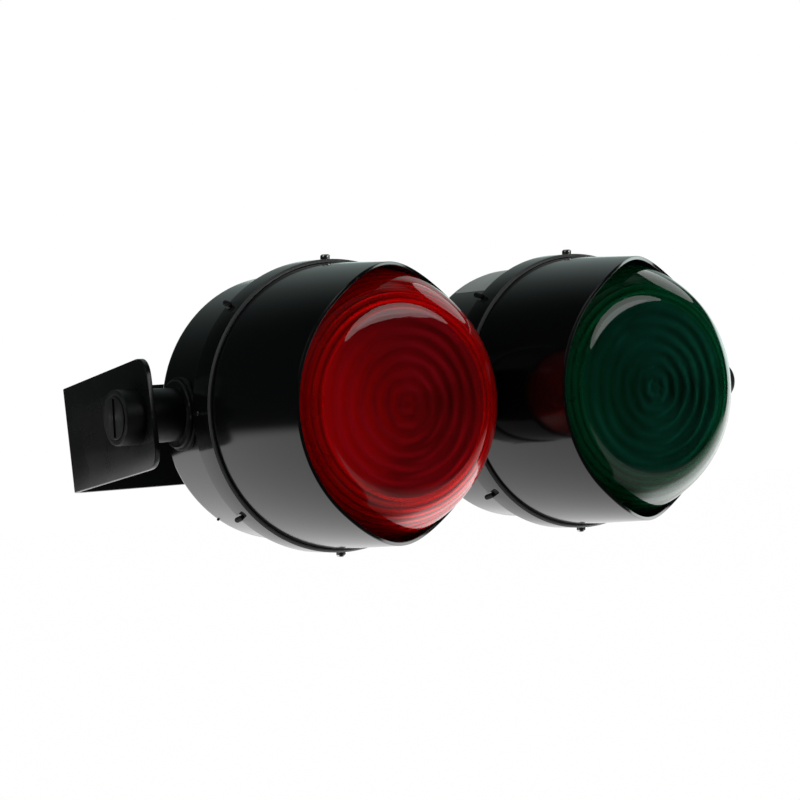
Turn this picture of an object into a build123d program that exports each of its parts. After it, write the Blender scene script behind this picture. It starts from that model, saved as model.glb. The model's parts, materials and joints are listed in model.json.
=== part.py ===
from build123d import *
import math
import os

# Twin LED signal lamp on a U bracket, in millimetres.
#
# The origin is the centre of the bracket's mounting face. +Y points into the wall, the lamps
# face -Y, +X runs from the red lamp to the green one, and +Z is up. Both lamps hang on one pivot
# line parallel to X and are aimed slightly down.
#
# Each lamp is drawn in its own frame: the origin is where its axis meets the pivot line, and its
# front is -Y. "Forward" sizes are distances in front of the pivot line along that axis.

# Clearances
FIT = 0.2  # between parts that slide together
THREAD_GAP = 0.12  # radial, around threads
PIVOT_GAP = 0.08  # radial, between the bracket's holes and the stems that turn in them
FACE_GAP = 0.1  # between the turning stack and the fixed bracket
SEAL_GAP = 0.02  # between a rubber collar and the round shell that it presses on
RIB_GAP = 0.4  # radial, between the lens and the rib that clamps it

# Bracket
PIVOT_DEPTH = 95.0  # mounting face to pivot line
FLANGE_REACH = 20.0  # pivot line to the flange's front edge
BRACKET_HEIGHT = 60.0
SHEET = 3.0
BEND_RADIUS = 3.0
FRONT_CORNER_RADIUS = 12.0
MOUNT_HOLE_SPACING = 200.0
MOUNT_HOLE_RADIUS = 4.5

# Lamp housing
AIM_ANGLE = 8.0  # degrees below square to the bracket
LAMP_GAP = 3.0  # between the rims of the two lamps
SHELL_RADIUS = 74.7
SHELL_WALL = 3.0
SHELL_BACK = 23.5  # behind the pivot line
SHELL_BACK_ROUND = 5.0
RIM_STEP = 5.8  # how far the rim stands out from the shell
RIM_DRAFT = 0.5  # how much less that is at the rim's front
RIM_WALL = 1.8  # around the cowl
RIM_REAR = 28.4
RIM_LEAD = 1.9  # length of the rim's sloped rear shoulder
SEAM = 45.8  # front face of the rim
RIM_BEVEL = 1.5  # at the rim's front edge
RIM_SOCKET = 10.3  # depth of the socket that takes the cowl
LENS_SEAT_DEPTH = 2.5  # from the socket's bottom to the gasket's seat
LENS_SEAT_STEP = 2.5  # from the socket's side to the seat's
POCKET_RADIUS = 3.0
POCKET_INSET = 1.5  # from the rim's side to the middle of a pocket
POCKET_LENGTH = 2.6  # from the rim's rear to the centre of the pocket's round end
POCKET_ANGLE = 47.0  # from the pivot line
NIB_RADIUS = 1.0
NIB_ANGLE = 234.0
NIB_INSET = 3.5  # from the shell's back
PIP_RADIUS = 1.6
PIP_FORWARD = 34.0
PAD_RADIUS = 16.5
PAD_DEPTH = 8.7  # from the shell's side to the flat pads inside, under the lock nuts

# Cowl
COWL_WALL = 2.0
COWL_LONG = 127.0  # forward reach of the long side, towards -X
COWL_SHORT = 80.8
COWL_TAPER = 3.6  # degrees
COWL_SWEEP = 50.0  # half width of the S curve between the two
CLAMP_RIB = 4.5  # length of the rib that clamps the lens and takes the screws

# Cover screws
SCREW_FORWARD = 39.0
SCREW_RADIUS = 1.5
SCREW_LENGTH = 6.0
SCREW_HEAD_RADIUS = 2.8
SCREW_HEAD_HEIGHT = 2.6
RECESS_WIDTH = 0.8
RECESS_LENGTH = 3.2
RECESS_DEPTH = 1.2

# Lens
LENS_WALL = 2.5
LENS_FLANGE = 2.5
LENS_FLANGE_WIDTH = 2.3
LENS_FACE = 115.0  # forward reach at the edge of the face
LENS_CROWN = 1.3  # rise of the face at its middle
SHOULDER_WIDTH = 25.7  # from the straight wall in to the edge of the face
SHOULDER_LENGTH = 35.0  # from the end of the straight wall forward to the edge of the face
SHOULDER_BULGE = [(5.0, 16.8), (12.6, 28.2)]  # points on the shoulder, in and forward from its start
SIDE_RINGS = 10
SIDE_RING_DEPTH = 0.9
FACE_RINGS = 8
FACE_RING_DEPTH = 0.6
FACE_RING_FIRST = 7.0
GASKET_THICKNESS = 1.5

# Electronics
POST_RADIUS = 4.0
BOARD = 1.6
BOARD_MARGIN = 5.7  # from the LED board's edge to the shell's inside
LED_POST_INSET = 8.0  # from the LED board's edge
LED_POST_TOP = 22.0
LED_SIZE = 5.0
LED_HEIGHT = 1.6
LED_RINGS = 3
LED_RING_PITCH = 16.0
LEDS_PER_RING = 6  # in the smallest ring, and as many more in each larger one
DRIVER_WIDTH = 84.0
DRIVER_HEIGHT = 56.0
DRIVER_POST = 9.0
DRIVER_HOLE_INSET = 5.0
BOARD_SCREW_RADIUS = 1.5
BOARD_SCREW_HEAD = 2.8
BOARD_SCREW_HEAD_HEIGHT = 2.0
BOARD_SCREW_GRIP = 5.0
BOARD_SCREW_SPARE = 1.0  # hole left below a screw's tip
CHOKE_SIZE = (22.0, 18.0, 16.0)
CHOKE_INSET = 24.0  # from the driver board's -X end to the middle of the choke
CHOKE_BEVEL = 1.5
CAPACITOR_RADIUS = 6.0
CAPACITOR_LENGTH = 20.0
CAPACITOR_AT = (4.0, 8.0)
TERMINAL_WAYS = 3
TERMINAL_PITCH = 7.5
TERMINAL_DEPTH = 11.0
TERMINAL_HEIGHT = 13.0
TERMINAL_INSET = 16.0  # from the driver board's +X end to the middle of the terminals
WIRE_ENTRY = (6.0, 5.0)  # depth and width of each way's square hole
SCREW_WELL = (2.2, 3.0)  # radius and depth of each way's round hole

# Pivot line, from the lamp outwards
THREAD_RADIUS = 10.0
THREAD_BORE = 7.5
STEM_INSIDE = 8.0  # how far a stem stands past the pad's face
LOCK_NUT_FLATS = 27.0
LOCK_NUT_THICKNESS = 5.0
SEAL_RADIUS = 20.2
SEAL_STANDOFF = 0.4  # from the shell's side to the disc
SEAL_RIBS = 4
SEAL_RIB_PITCH = 1.6
SEAL_RIB_DEPTH = 1.0
DISC_RADIUS = 18.7
DISC_THICKNESS = 2.2
DISC_BEVEL = 0.7
SPACER_LENGTH = 20.6
SPACER_RADIUS_INNER = 14.4  # at the disc
SPACER_RADIUS_OUTER = 15.2  # at the flange
LOCK_RING_RADIUS = 15.2
LOCK_RING_LENGTH = 11.6
LOCK_RING_ROUND = 0.8
PLUG_RADIUS = 11.8
PLUG_DISC = 4.0
PLUG_PROUD = 0.6
PLUG_BEVEL = 0.5
PLUG_SHANK = 8.0
SLOT_WIDTH = 2.5
SLOT_LENGTH = 21.0
SLOT_DEPTH = 2.0
GLAND_FLATS = 21.0
GLAND_HEX = 8.0
GLAND_NECK = 12.0
GLAND_NUT_RADIUS = 10.8
GLAND_NUT_WALL = 3.0
GLAND_NUT_LENGTH = 27.6
GLAND_NUT_ROUND = 4.0
GLAND_NUT_FLUTES = 12
FLUTE_RADIUS = 2.0
FLUTE_DEPTH = 0.8
FLUTE_STOP = 2.0  # from a flute's end to the nut's round end
GLAND_BORE = 5.0
GLAND_SEAL_WALL = 2.0
GLAND_SEAL_LENGTH = 9.0

# Places that follow from the sizes above
RIM_RADIUS = SHELL_RADIUS + RIM_STEP
LAMP_PITCH = 2 * RIM_RADIUS + LAMP_GAP
SHELL_BORE = SHELL_RADIUS - SHELL_WALL
INNER_BACK = SHELL_BACK - SHELL_WALL
PAD_FACE = SHELL_RADIUS - PAD_DEPTH
POCKET_ORBIT = RIM_RADIUS - POCKET_INSET
POCKET_FRONT = RIM_REAR + POCKET_LENGTH
SOCKET_RADIUS = RIM_RADIUS - RIM_DRAFT - RIM_WALL
SOCKET_BOTTOM = SEAM - RIM_SOCKET
COWL_ROOT_RADIUS = SOCKET_RADIUS - FIT
SCREW_HEAD_REAR = SCREW_FORWARD - SCREW_HEAD_RADIUS
SCREW_SEAT = RIM_RADIUS - RIM_DRAFT * (SCREW_HEAD_REAR - RIM_REAR) / (SEAM - RIM_REAR)
LENS_SEAT = SOCKET_BOTTOM - LENS_SEAT_DEPTH
LENS_SEAT_RADIUS = SOCKET_RADIUS - LENS_SEAT_STEP
LENS_FLANGE_RADIUS = LENS_SEAT_RADIUS - FIT
LENS_FLANGE_REAR = LENS_SEAT + GASKET_THICKNESS
LENS_FLANGE_FRONT = LENS_FLANGE_REAR + LENS_FLANGE
LENS_RADIUS = LENS_FLANGE_RADIUS - LENS_FLANGE_WIDTH
LENS_STRAIGHT = LENS_FACE - SHOULDER_LENGTH
LENS_FACE_RADIUS = LENS_RADIUS - SHOULDER_WIDTH
CLAMP_RIB_RADIUS = LENS_RADIUS + RIB_GAP
LED_BOARD_RADIUS = SHELL_BORE - BOARD_MARGIN
LED_POST_ORBIT = LED_BOARD_RADIUS - LED_POST_INSET
DRIVER_REAR = DRIVER_POST - INNER_BACK
DRIVER_TOP = DRIVER_REAR + BOARD
THREAD_HOLE = THREAD_RADIUS + THREAD_GAP
DISC_FACE = LAMP_PITCH / 2 + SHELL_RADIUS + SEAL_STANDOFF
SPACER_FACE = DISC_FACE + DISC_THICKNESS
FLANGE_INNER = SPACER_FACE + SPACER_LENGTH + FACE_GAP
FLANGE_OUTER = FLANGE_INNER + SHEET
RING_FACE = FLANGE_OUTER + FACE_GAP
RING_END = RING_FACE + LOCK_RING_LENGTH
PLUG_FACE = RING_END + PLUG_PROUD
RECESS_FLOOR = PLUG_FACE - PLUG_DISC
GLAND_NUT_START = PLUG_FACE + GLAND_HEX
GLAND_NECK_END = GLAND_NUT_START + GLAND_NECK
GLAND_SEAL_START = GLAND_NECK_END - GLAND_SEAL_LENGTH / 2
GLAND_NECK_RADIUS = GLAND_NUT_RADIUS - GLAND_NUT_WALL
PIVOT = Pos(0, -PIVOT_DEPTH, 0) * Rot(X=AIM_ANGLE)
LAMPS = {"red": -1, "green": 1}


def turned(points):
    """A solid of revolution about the lamp axis, from (radius, forward) points."""
    outline = Polyline(*[(radius, -forward) for radius, forward in points], close=True)
    return revolve(make_face(outline), Axis.Y)


def along_pivot(points):
    """A solid of revolution about the pivot line, from (x, radius) points."""
    return revolve(make_face(Polyline(*points, close=True)), Axis.X)


def rod_forward(radius, start, end):
    """A round bar parallel to the lamp axis, between two forward distances."""
    return extrude(Plane.XZ.offset(start) * Circle(radius), end - start)


def rod_along_pivot(radius, start, end):
    """A round bar on the pivot line, between two places along X."""
    return extrude(Plane.YZ.offset(start) * Circle(radius), end - start)


def around(orbit, count, first_angle):
    """Places spaced evenly about the lamp axis, each as an (x, z) pair."""
    angles = [math.radians(first_angle + 360 * step / count) for step in range(count)]
    return [(orbit * math.cos(angle), orbit * math.sin(angle)) for angle in angles]


def pocket_places():
    """The four pockets stand at the same angle either side of the pivot line."""
    return around(POCKET_ORBIT, 2, POCKET_ANGLE) + around(POCKET_ORBIT, 2, -POCKET_ANGLE)


def driver_places():
    """Screw places of the driver board."""
    half_width = DRIVER_WIDTH / 2 - DRIVER_HOLE_INSET
    half_height = DRIVER_HEIGHT / 2 - DRIVER_HOLE_INSET
    return [(x, z) for x in (-half_width, half_width) for z in (-half_height, half_height)]


def led_post_places():
    """Screw places of the LED board."""
    return around(LED_POST_ORBIT, 4, 45)


def can_profile():
    """Half section of the shell, as (radius, forward) points."""
    return [
        (0, -SHELL_BACK),
        (SHELL_RADIUS, -SHELL_BACK),
        (SHELL_RADIUS, RIM_REAR - RIM_LEAD),
        (RIM_RADIUS, RIM_REAR),
        (RIM_RADIUS - RIM_DRAFT, SEAM - RIM_BEVEL),
        (RIM_RADIUS - RIM_DRAFT - RIM_BEVEL, SEAM),
        (SOCKET_RADIUS, SEAM),
        (SOCKET_RADIUS, SOCKET_BOTTOM),
        (LENS_SEAT_RADIUS, SOCKET_BOTTOM),
        (LENS_SEAT_RADIUS, LENS_SEAT),
        (SHELL_BORE, LENS_SEAT),
        (SHELL_BORE, -INNER_BACK),
        (0, -INNER_BACK),
    ]


def posts(places, top):
    """Screw posts that stand on the shell's back."""
    foot = -INNER_BACK - SHELL_WALL / 2
    return [Pos(x, 0, z) * rod_forward(POST_RADIUS, foot, top) for x, z in places]


def post_holes(places, top):
    """Screw holes in the posts."""
    bottom = top - BOARD_SCREW_GRIP - BOARD_SCREW_SPARE
    return [Pos(x, 0, z) * rod_forward(BOARD_SCREW_RADIUS, bottom, top) for x, z in places]


def pockets():
    """Round-ended pockets in the rim, open to the rear and to the side."""
    cuts = []
    for x, z in pocket_places():
        cuts.append(Pos(x, 0, z) * rod_forward(POCKET_RADIUS, 0, POCKET_FRONT))
        cuts.append(Pos(x, -POCKET_FRONT, z) * Sphere(POCKET_RADIUS))
    return cuts


def base_shell():
    """Moulded rear housing: a round can with a wider rim that takes the cowl."""
    can = turned(can_profile())
    back_edge = can.edges().filter_by(GeomType.CIRCLE).sort_by(Axis.Y)[-1]
    can = fillet(back_edge, SHELL_BACK_ROUND)
    pad = rod_along_pivot(PAD_RADIUS, PAD_FACE, SHELL_RADIUS)
    pad &= rod_forward(SHELL_RADIUS, -SHELL_BACK, RIM_REAR)
    can += [pad, mirror(pad, Plane.YZ)]
    can += posts(led_post_places(), LED_POST_TOP) + posts(driver_places(), DRIVER_REAR)
    can -= post_holes(led_post_places(), LED_POST_TOP) + post_holes(driver_places(), DRIVER_REAR)
    can -= pockets()
    can -= rod_along_pivot(THREAD_HOLE, -RIM_RADIUS, RIM_RADIUS)
    can -= Pos(0, -SCREW_FORWARD, 0) * Cylinder(SCREW_RADIUS + THREAD_GAP, 3 * RIM_RADIUS)
    nib_x, nib_z = around(SHELL_RADIUS, 1, NIB_ANGLE)[0]
    can += Pos(nib_x, SHELL_BACK - NIB_INSET, nib_z) * Sphere(NIB_RADIUS)
    can -= Pos(-RIM_RADIUS - PIP_RADIUS / 2, -PIP_FORWARD, 0) * Sphere(PIP_RADIUS)
    return can


def cowl_radius(forward):
    """Outer radius of the cowl, which narrows in front of the seam."""
    return COWL_ROOT_RADIUS - max(0, forward - SEAM) * math.tan(math.radians(COWL_TAPER))


def cowl():
    """Hood over the lens: long on one side, short on the other, with an S curve between."""
    root = COWL_ROOT_RADIUS - COWL_WALL
    tube = turned([
        (COWL_ROOT_RADIUS, SOCKET_BOTTOM + FIT),
        (COWL_ROOT_RADIUS, SEAM),
        (cowl_radius(COWL_LONG), COWL_LONG),
        (cowl_radius(COWL_LONG) - COWL_WALL, COWL_LONG),
        (root, SEAM),
        (root, LENS_FLANGE_FRONT + CLAMP_RIB),
        (CLAMP_RIB_RADIUS, LENS_FLANGE_FRONT + CLAMP_RIB),
        (CLAMP_RIB_RADIUS, LENS_FLANGE_FRONT),
        (root, LENS_FLANGE_FRONT),
        (root, SOCKET_BOTTOM + FIT),
    ])
    outside = 1.2 * COWL_ROOT_RADIUS
    beyond = 1.2 * COWL_LONG
    sweep = Bezier(
        (-COWL_SWEEP, -COWL_LONG),
        (-COWL_SWEEP / 3, -COWL_LONG),
        (COWL_SWEEP / 3, -COWL_SHORT),
        (COWL_SWEEP, -COWL_SHORT),
    )
    rest = Polyline(
        (COWL_SWEEP, -COWL_SHORT),
        (outside, -COWL_SHORT),
        (outside, -beyond),
        (-COWL_SWEEP, -beyond),
        (-COWL_SWEEP, -COWL_LONG),
    )
    hood = tube - extrude(make_face([sweep, rest]), outside, both=True)
    return hood - Pos(0, -SCREW_FORWARD, 0) * Cylinder(SCREW_RADIUS + THREAD_GAP / 2, 2 * outside)


def lens():
    """Coloured cap: smooth outside, with prism rings inside its shoulder and its face."""
    nose = -LENS_FACE - LENS_CROWN
    crown = TangentArc((0, nose), (LENS_FACE_RADIUS, -LENS_FACE), tangent=(1, 0))
    shoulder = Spline(
        (LENS_RADIUS, -LENS_STRAIGHT),
        *[(LENS_RADIUS - inward, -LENS_STRAIGHT - forward) for inward, forward in SHOULDER_BULGE],
        (LENS_FACE_RADIUS, -LENS_FACE),
        tangents=[(0, -1), -(crown % 1)],
    )
    bore = LENS_RADIUS - LENS_WALL
    flange = Polyline(
        (bore, -LENS_FLANGE_REAR),
        (LENS_FLANGE_RADIUS, -LENS_FLANGE_REAR),
        (LENS_FLANGE_RADIUS, -LENS_FLANGE_FRONT),
        (LENS_RADIUS, -LENS_FLANGE_FRONT),
        (LENS_RADIUS, -LENS_STRAIGHT),
    )
    inside = [(bore, -LENS_FLANGE_REAR), (bore, -LENS_STRAIGHT)]
    for step in range(1, 2 * SIDE_RINGS):
        skin = LENS_WALL + (SIDE_RING_DEPTH if step % 2 else 0)
        place = shoulder.position_at(step / (2 * SIDE_RINGS))
        ahead = shoulder.tangent_at(step / (2 * SIDE_RINGS))
        inside.append((place.X + ahead.Y * skin, place.Y - ahead.X * skin))
    pitch = (LENS_FACE_RADIUS - FACE_RING_FIRST) / (2 * FACE_RINGS)
    for step in range(2 * FACE_RINGS + 1):
        radius = LENS_FACE_RADIUS - pitch * step
        skin = LENS_WALL + (FACE_RING_DEPTH if step % 2 else 0)
        rise = LENS_CROWN * (1 - (radius / LENS_FACE_RADIUS) ** 2)
        inside.append((radius, skin - LENS_FACE - rise))
    inside.append((0, nose + LENS_WALL))
    profile = [flange, shoulder, crown, Line((0, nose), inside[-1]), Polyline(*inside)]
    return revolve(make_face(profile), Axis.Y)


def lens_gasket():
    """Flat rubber ring under the lens's flange."""
    return turned([
        (SHELL_BORE + FIT, LENS_SEAT),
        (LENS_FLANGE_RADIUS, LENS_SEAT),
        (LENS_FLANGE_RADIUS, LENS_FLANGE_REAR),
        (SHELL_BORE + FIT, LENS_FLANGE_REAR),
    ])


def cover_screws():
    """Two pan-head screws, driven towards the lamp axis from above and below."""
    shank = Cylinder(SCREW_RADIUS, SCREW_LENGTH, align=(Align.CENTER, Align.CENTER, Align.MAX))
    head = Cylinder(SCREW_HEAD_RADIUS, SCREW_HEAD_HEIGHT, align=(Align.CENTER, Align.CENTER, Align.MIN))
    head = fillet(head.edges().sort_by(Axis.Z)[-1], SCREW_HEAD_HEIGHT / 2)
    cross = Box(RECESS_LENGTH, RECESS_WIDTH, 2 * RECESS_DEPTH)
    cross += Rot(Z=90) * cross
    screw = head + shank - Pos(0, 0, SCREW_HEAD_HEIGHT) * cross
    upper = Pos(0, -SCREW_FORWARD, SCREW_SEAT) * screw
    return Compound(children=[upper, mirror(upper, Plane.XY)])


def board_screws(places, board_top):
    """Pan-head screws that hold a board on its posts."""
    screws = []
    for x, z in places:
        shank = rod_forward(BOARD_SCREW_RADIUS, board_top - BOARD - BOARD_SCREW_GRIP, board_top)
        head = rod_forward(BOARD_SCREW_HEAD, board_top, board_top + BOARD_SCREW_HEAD_HEIGHT)
        screws.append(Pos(x, 0, z) * (shank + head))
    return Compound(children=screws)


def led_board():
    """Round circuit board on four posts."""
    front = LED_POST_TOP + BOARD
    board = rod_forward(LED_BOARD_RADIUS, LED_POST_TOP, front)
    hole = rod_forward(BOARD_SCREW_RADIUS + THREAD_GAP, LED_POST_TOP, front)
    return board - [Pos(x, 0, z) * hole for x, z in led_post_places()]


def leds():
    """Square LED packages in rings on the board."""
    front = LED_POST_TOP + BOARD
    packages = []
    for ring in range(1, LED_RINGS + 1):
        for x, z in around(ring * LED_RING_PITCH, ring * LEDS_PER_RING, 0):
            packages.append(Pos(x, -front - LED_HEIGHT / 2, z) * Box(LED_SIZE, LED_HEIGHT, LED_SIZE))
    return Compound(children=packages)


def driver_board():
    """Rectangular driver board behind the pivot line."""
    board = Pos(0, BOARD / 2 - DRIVER_TOP, 0) * Box(DRIVER_WIDTH, BOARD, DRIVER_HEIGHT)
    hole = rod_forward(BOARD_SCREW_RADIUS + THREAD_GAP, DRIVER_REAR, DRIVER_TOP)
    return board - [Pos(x, 0, z) * hole for x, z in driver_places()]


def choke():
    """Wound choke on the driver board."""
    width, height, depth = CHOKE_SIZE
    core = Pos(CHOKE_INSET - DRIVER_WIDTH / 2, -DRIVER_TOP - depth / 2, 0) * Box(width, depth, height)
    return chamfer(core.edges().filter_by(Axis.Y), CHOKE_BEVEL)


def capacitor():
    """Upright smoothing capacitor."""
    can = rod_forward(CAPACITOR_RADIUS, DRIVER_TOP, DRIVER_TOP + CAPACITOR_LENGTH)
    return Pos(CAPACITOR_AT[0], 0, CAPACITOR_AT[1]) * can


def terminal_block():
    """Screw terminals for the supply, with one wire entry and one screw well for each way."""
    height = TERMINAL_WAYS * TERMINAL_PITCH
    top = DRIVER_TOP + TERMINAL_HEIGHT
    entry_depth, entry_width = WIRE_ENTRY
    well_radius, well_depth = SCREW_WELL
    entry = Box(2 * entry_depth, entry_width, entry_width)
    well = rod_forward(well_radius, top - well_depth, top)
    block = Pos(0, TERMINAL_HEIGHT / 2 - top, 0) * Box(TERMINAL_DEPTH, TERMINAL_HEIGHT, height)
    for way in range(TERMINAL_WAYS):
        z = (way - (TERMINAL_WAYS - 1) / 2) * TERMINAL_PITCH
        block -= Pos(TERMINAL_DEPTH / 2, -DRIVER_TOP - TERMINAL_HEIGHT / 3, z) * entry
        block -= Pos(0, 0, z) * well
    return Pos(DRIVER_WIDTH / 2 - TERMINAL_INSET, 0, 0) * block


def lock_nuts():
    """Hexagon nuts on the two threads that enter a lamp, tight against the pads inside it."""
    outline = Plane.YZ.offset(PAD_FACE) * RegularPolygon(LOCK_NUT_FLATS / 2, 6, False)
    nut = extrude(outline, -LOCK_NUT_THICKNESS)
    nut -= rod_along_pivot(THREAD_HOLE, PAD_FACE - LOCK_NUT_THICKNESS, PAD_FACE)
    return Compound(children=[nut, mirror(nut, Plane.YZ)])


def ribbed_sleeve(start, end):
    """A rubber sleeve on the pivot line, ribbed outside."""
    ribs = max(1, round((end - start) / SEAL_RIB_PITCH))
    step = (end - start) / ribs
    valley = SEAL_RADIUS - SEAL_RIB_DEPTH
    outside = []
    for rib in range(ribs):
        left = start + rib * step
        outside += [(left, valley), (left + step / 4, SEAL_RADIUS), (left + 3 * step / 4, SEAL_RADIUS)]
    return along_pivot([(start, THREAD_HOLE), *outside, (end, valley), (end, THREAD_HOLE)])


def shell_side():
    """The right lamp's shell as a plain bar, for shaping what presses on its side."""
    return Pos(LAMP_PITCH / 2, 0, 0) * rod_forward(SHELL_RADIUS + SEAL_GAP, -2 * SHELL_BACK, RIM_REAR)


def entry_seal():
    """Ribbed rubber collar between a lamp's side and the disc, shaped to the lamp."""
    return ribbed_sleeve(DISC_FACE - SEAL_RIBS * SEAL_RIB_PITCH, DISC_FACE) - shell_side()


def disc():
    """Bevelled disc that spreads the clamping load on the seal."""
    return along_pivot([
        (DISC_FACE, THREAD_HOLE),
        (DISC_FACE, DISC_RADIUS),
        (SPACER_FACE - DISC_BEVEL, DISC_RADIUS),
        (SPACER_FACE, DISC_RADIUS - DISC_BEVEL),
        (SPACER_FACE, THREAD_HOLE),
    ])


def spacer():
    """Slightly tapered sleeve between the disc and the bracket's flange."""
    end = SPACER_FACE + SPACER_LENGTH
    return along_pivot([
        (SPACER_FACE, THREAD_HOLE),
        (SPACER_FACE, SPACER_RADIUS_INNER),
        (end, SPACER_RADIUS_OUTER),
        (end, THREAD_HOLE),
    ])


def stem():
    """Hollow threaded stem that carries one end of the lamps in the bracket."""
    inner_end = LAMP_PITCH / 2 + PAD_FACE - STEM_INSIDE
    tube = rod_along_pivot(THREAD_RADIUS, inner_end, RECESS_FLOOR)
    return tube - rod_along_pivot(THREAD_BORE, inner_end, RECESS_FLOOR)


def lock_ring():
    """Round ring nut outside the flange, with a recess for what closes the stem."""
    return along_pivot([
        (RING_FACE, THREAD_HOLE),
        (RING_FACE, LOCK_RING_RADIUS),
        (RING_END - LOCK_RING_ROUND, LOCK_RING_RADIUS),
        (RING_END, LOCK_RING_RADIUS - LOCK_RING_ROUND),
        (RING_END, PLUG_RADIUS + FIT),
        (RECESS_FLOOR, PLUG_RADIUS + FIT),
        (RECESS_FLOOR, THREAD_HOLE),
    ])


def stopper_head():
    """Round head in the lock ring's recess with a shank in the stem, common to plug and gland."""
    return along_pivot([
        (RECESS_FLOOR - PLUG_SHANK, 0),
        (RECESS_FLOOR - PLUG_SHANK, THREAD_BORE - THREAD_GAP),
        (RECESS_FLOOR, THREAD_BORE - THREAD_GAP),
        (RECESS_FLOOR, PLUG_RADIUS),
        (PLUG_FACE - PLUG_BEVEL, PLUG_RADIUS),
        (PLUG_FACE, PLUG_RADIUS - PLUG_BEVEL),
        (PLUG_FACE, 0),
    ])


def blanking_plug():
    """Plug with a coin slot that closes the end with no cable."""
    return stopper_head() - Pos(PLUG_FACE, 0, 0) * Box(2 * SLOT_DEPTH, SLOT_WIDTH, SLOT_LENGTH)


def gland_body():
    """Cable gland body: the same head, a hexagon, and a threaded neck for the dome nut."""
    hexagon = Plane.YZ.offset(PLUG_FACE) * RegularPolygon(GLAND_FLATS / 2, 6, False)
    body = stopper_head() + extrude(hexagon, GLAND_HEX)
    body += rod_along_pivot(GLAND_NECK_RADIUS, GLAND_NUT_START, GLAND_NECK_END)
    body -= rod_along_pivot(GLAND_BORE, RECESS_FLOOR - PLUG_SHANK, GLAND_NECK_END)
    return body - rod_along_pivot(GLAND_BORE + GLAND_SEAL_WALL, GLAND_SEAL_START, GLAND_NECK_END)


def gland_seal():
    """Rubber sleeve that grips the cable."""
    end = GLAND_SEAL_START + GLAND_SEAL_LENGTH
    sleeve = rod_along_pivot(GLAND_BORE + GLAND_SEAL_WALL - FIT, GLAND_SEAL_START, end)
    return sleeve - rod_along_pivot(GLAND_BORE, GLAND_SEAL_START, end)


def gland_nut():
    """Dome nut with a rounded, fluted outside."""
    start = GLAND_NUT_START + FACE_GAP
    end = GLAND_NUT_START + GLAND_NUT_LENGTH
    seat = GLAND_SEAL_START + GLAND_SEAL_LENGTH
    nut = rod_along_pivot(GLAND_NUT_RADIUS, start, end)
    nut = fillet(nut.edges().sort_by(Axis.X)[-1], GLAND_NUT_ROUND)
    nut -= rod_along_pivot(GLAND_NECK_RADIUS + THREAD_GAP, start, seat)
    nut -= rod_along_pivot(GLAND_BORE, seat, end)
    flute = rod_along_pivot(FLUTE_RADIUS, start, end - GLAND_NUT_ROUND - FLUTE_STOP)
    orbit = GLAND_NUT_RADIUS + FLUTE_RADIUS - FLUTE_DEPTH
    return nut - [Pos(0, y, z) * flute for y, z in around(orbit, GLAND_NUT_FLUTES, 0)]


def coupling_nipple():
    """Hollow threaded nipple that joins the two lamps on the pivot line."""
    half = LAMP_PITCH / 2 - PAD_FACE + STEM_INSIDE
    tube = rod_along_pivot(THREAD_RADIUS, -half, half)
    return tube - rod_along_pivot(THREAD_BORE, -half, half)


def coupling_collar():
    """Ribbed rubber collar between the lamps, shaped to both of their sides."""
    sagitta = SHELL_RADIUS - math.sqrt(SHELL_RADIUS**2 - SEAL_RADIUS**2)
    half = LAMP_PITCH / 2 - SHELL_RADIUS + sagitta
    return ribbed_sleeve(-half, half) - shell_side() - mirror(shell_side(), Plane.YZ)


def bracket():
    """U bracket folded from flat bar, with round front corners and one pivot hole in each flange."""
    reach = PIVOT_DEPTH + FLANGE_REACH
    outer = BEND_RADIUS + SHEET
    plan = FilletPolyline(
        (-FLANGE_OUTER, -reach),
        (-FLANGE_OUTER, 0),
        (FLANGE_OUTER, 0),
        (FLANGE_OUTER, -reach),
        radius=outer,
    )
    inside = FilletPolyline(
        (FLANGE_INNER, -reach),
        (FLANGE_INNER, -SHEET),
        (-FLANGE_INNER, -SHEET),
        (-FLANGE_INNER, -reach),
        radius=BEND_RADIUS,
    )
    ends = [
        Line((-FLANGE_INNER, -reach), (-FLANGE_OUTER, -reach)),
        Line((FLANGE_OUTER, -reach), (FLANGE_INNER, -reach)),
    ]
    strip = extrude(make_face([plan, inside, *ends]), BRACKET_HEIGHT / 2, both=True)
    corners = strip.edges().filter_by(Axis.X).group_by(Axis.Y)[0]
    strip = fillet(corners, FRONT_CORNER_RADIUS)
    strip -= Pos(0, -PIVOT_DEPTH, 0) * rod_along_pivot(THREAD_RADIUS + PIVOT_GAP, -FLANGE_OUTER, FLANGE_OUTER)
    wall_hole = rod_forward(MOUNT_HOLE_RADIUS, 0, SHEET)
    return strip - [Pos(side * MOUNT_HOLE_SPACING / 2, 0, 0) * wall_hole for side in (-1, 1)]


def lamp_pieces():
    """Every piece of one lamp, in the lamp's own frame."""
    return {
        "base_shell": base_shell(),
        "cowl": cowl(),
        "lens": lens(),
        "lens_gasket": lens_gasket(),
        "cover_screws": cover_screws(),
        "led_board": led_board(),
        "leds": leds(),
        "led_board_screws": board_screws(led_post_places(), LED_POST_TOP + BOARD),
        "driver_board": driver_board(),
        "driver_screws": board_screws(driver_places(), DRIVER_TOP),
        "choke": choke(),
        "capacitor": capacitor(),
        "terminal_block": terminal_block(),
        "lock_nuts": lock_nuts(),
    }


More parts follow.
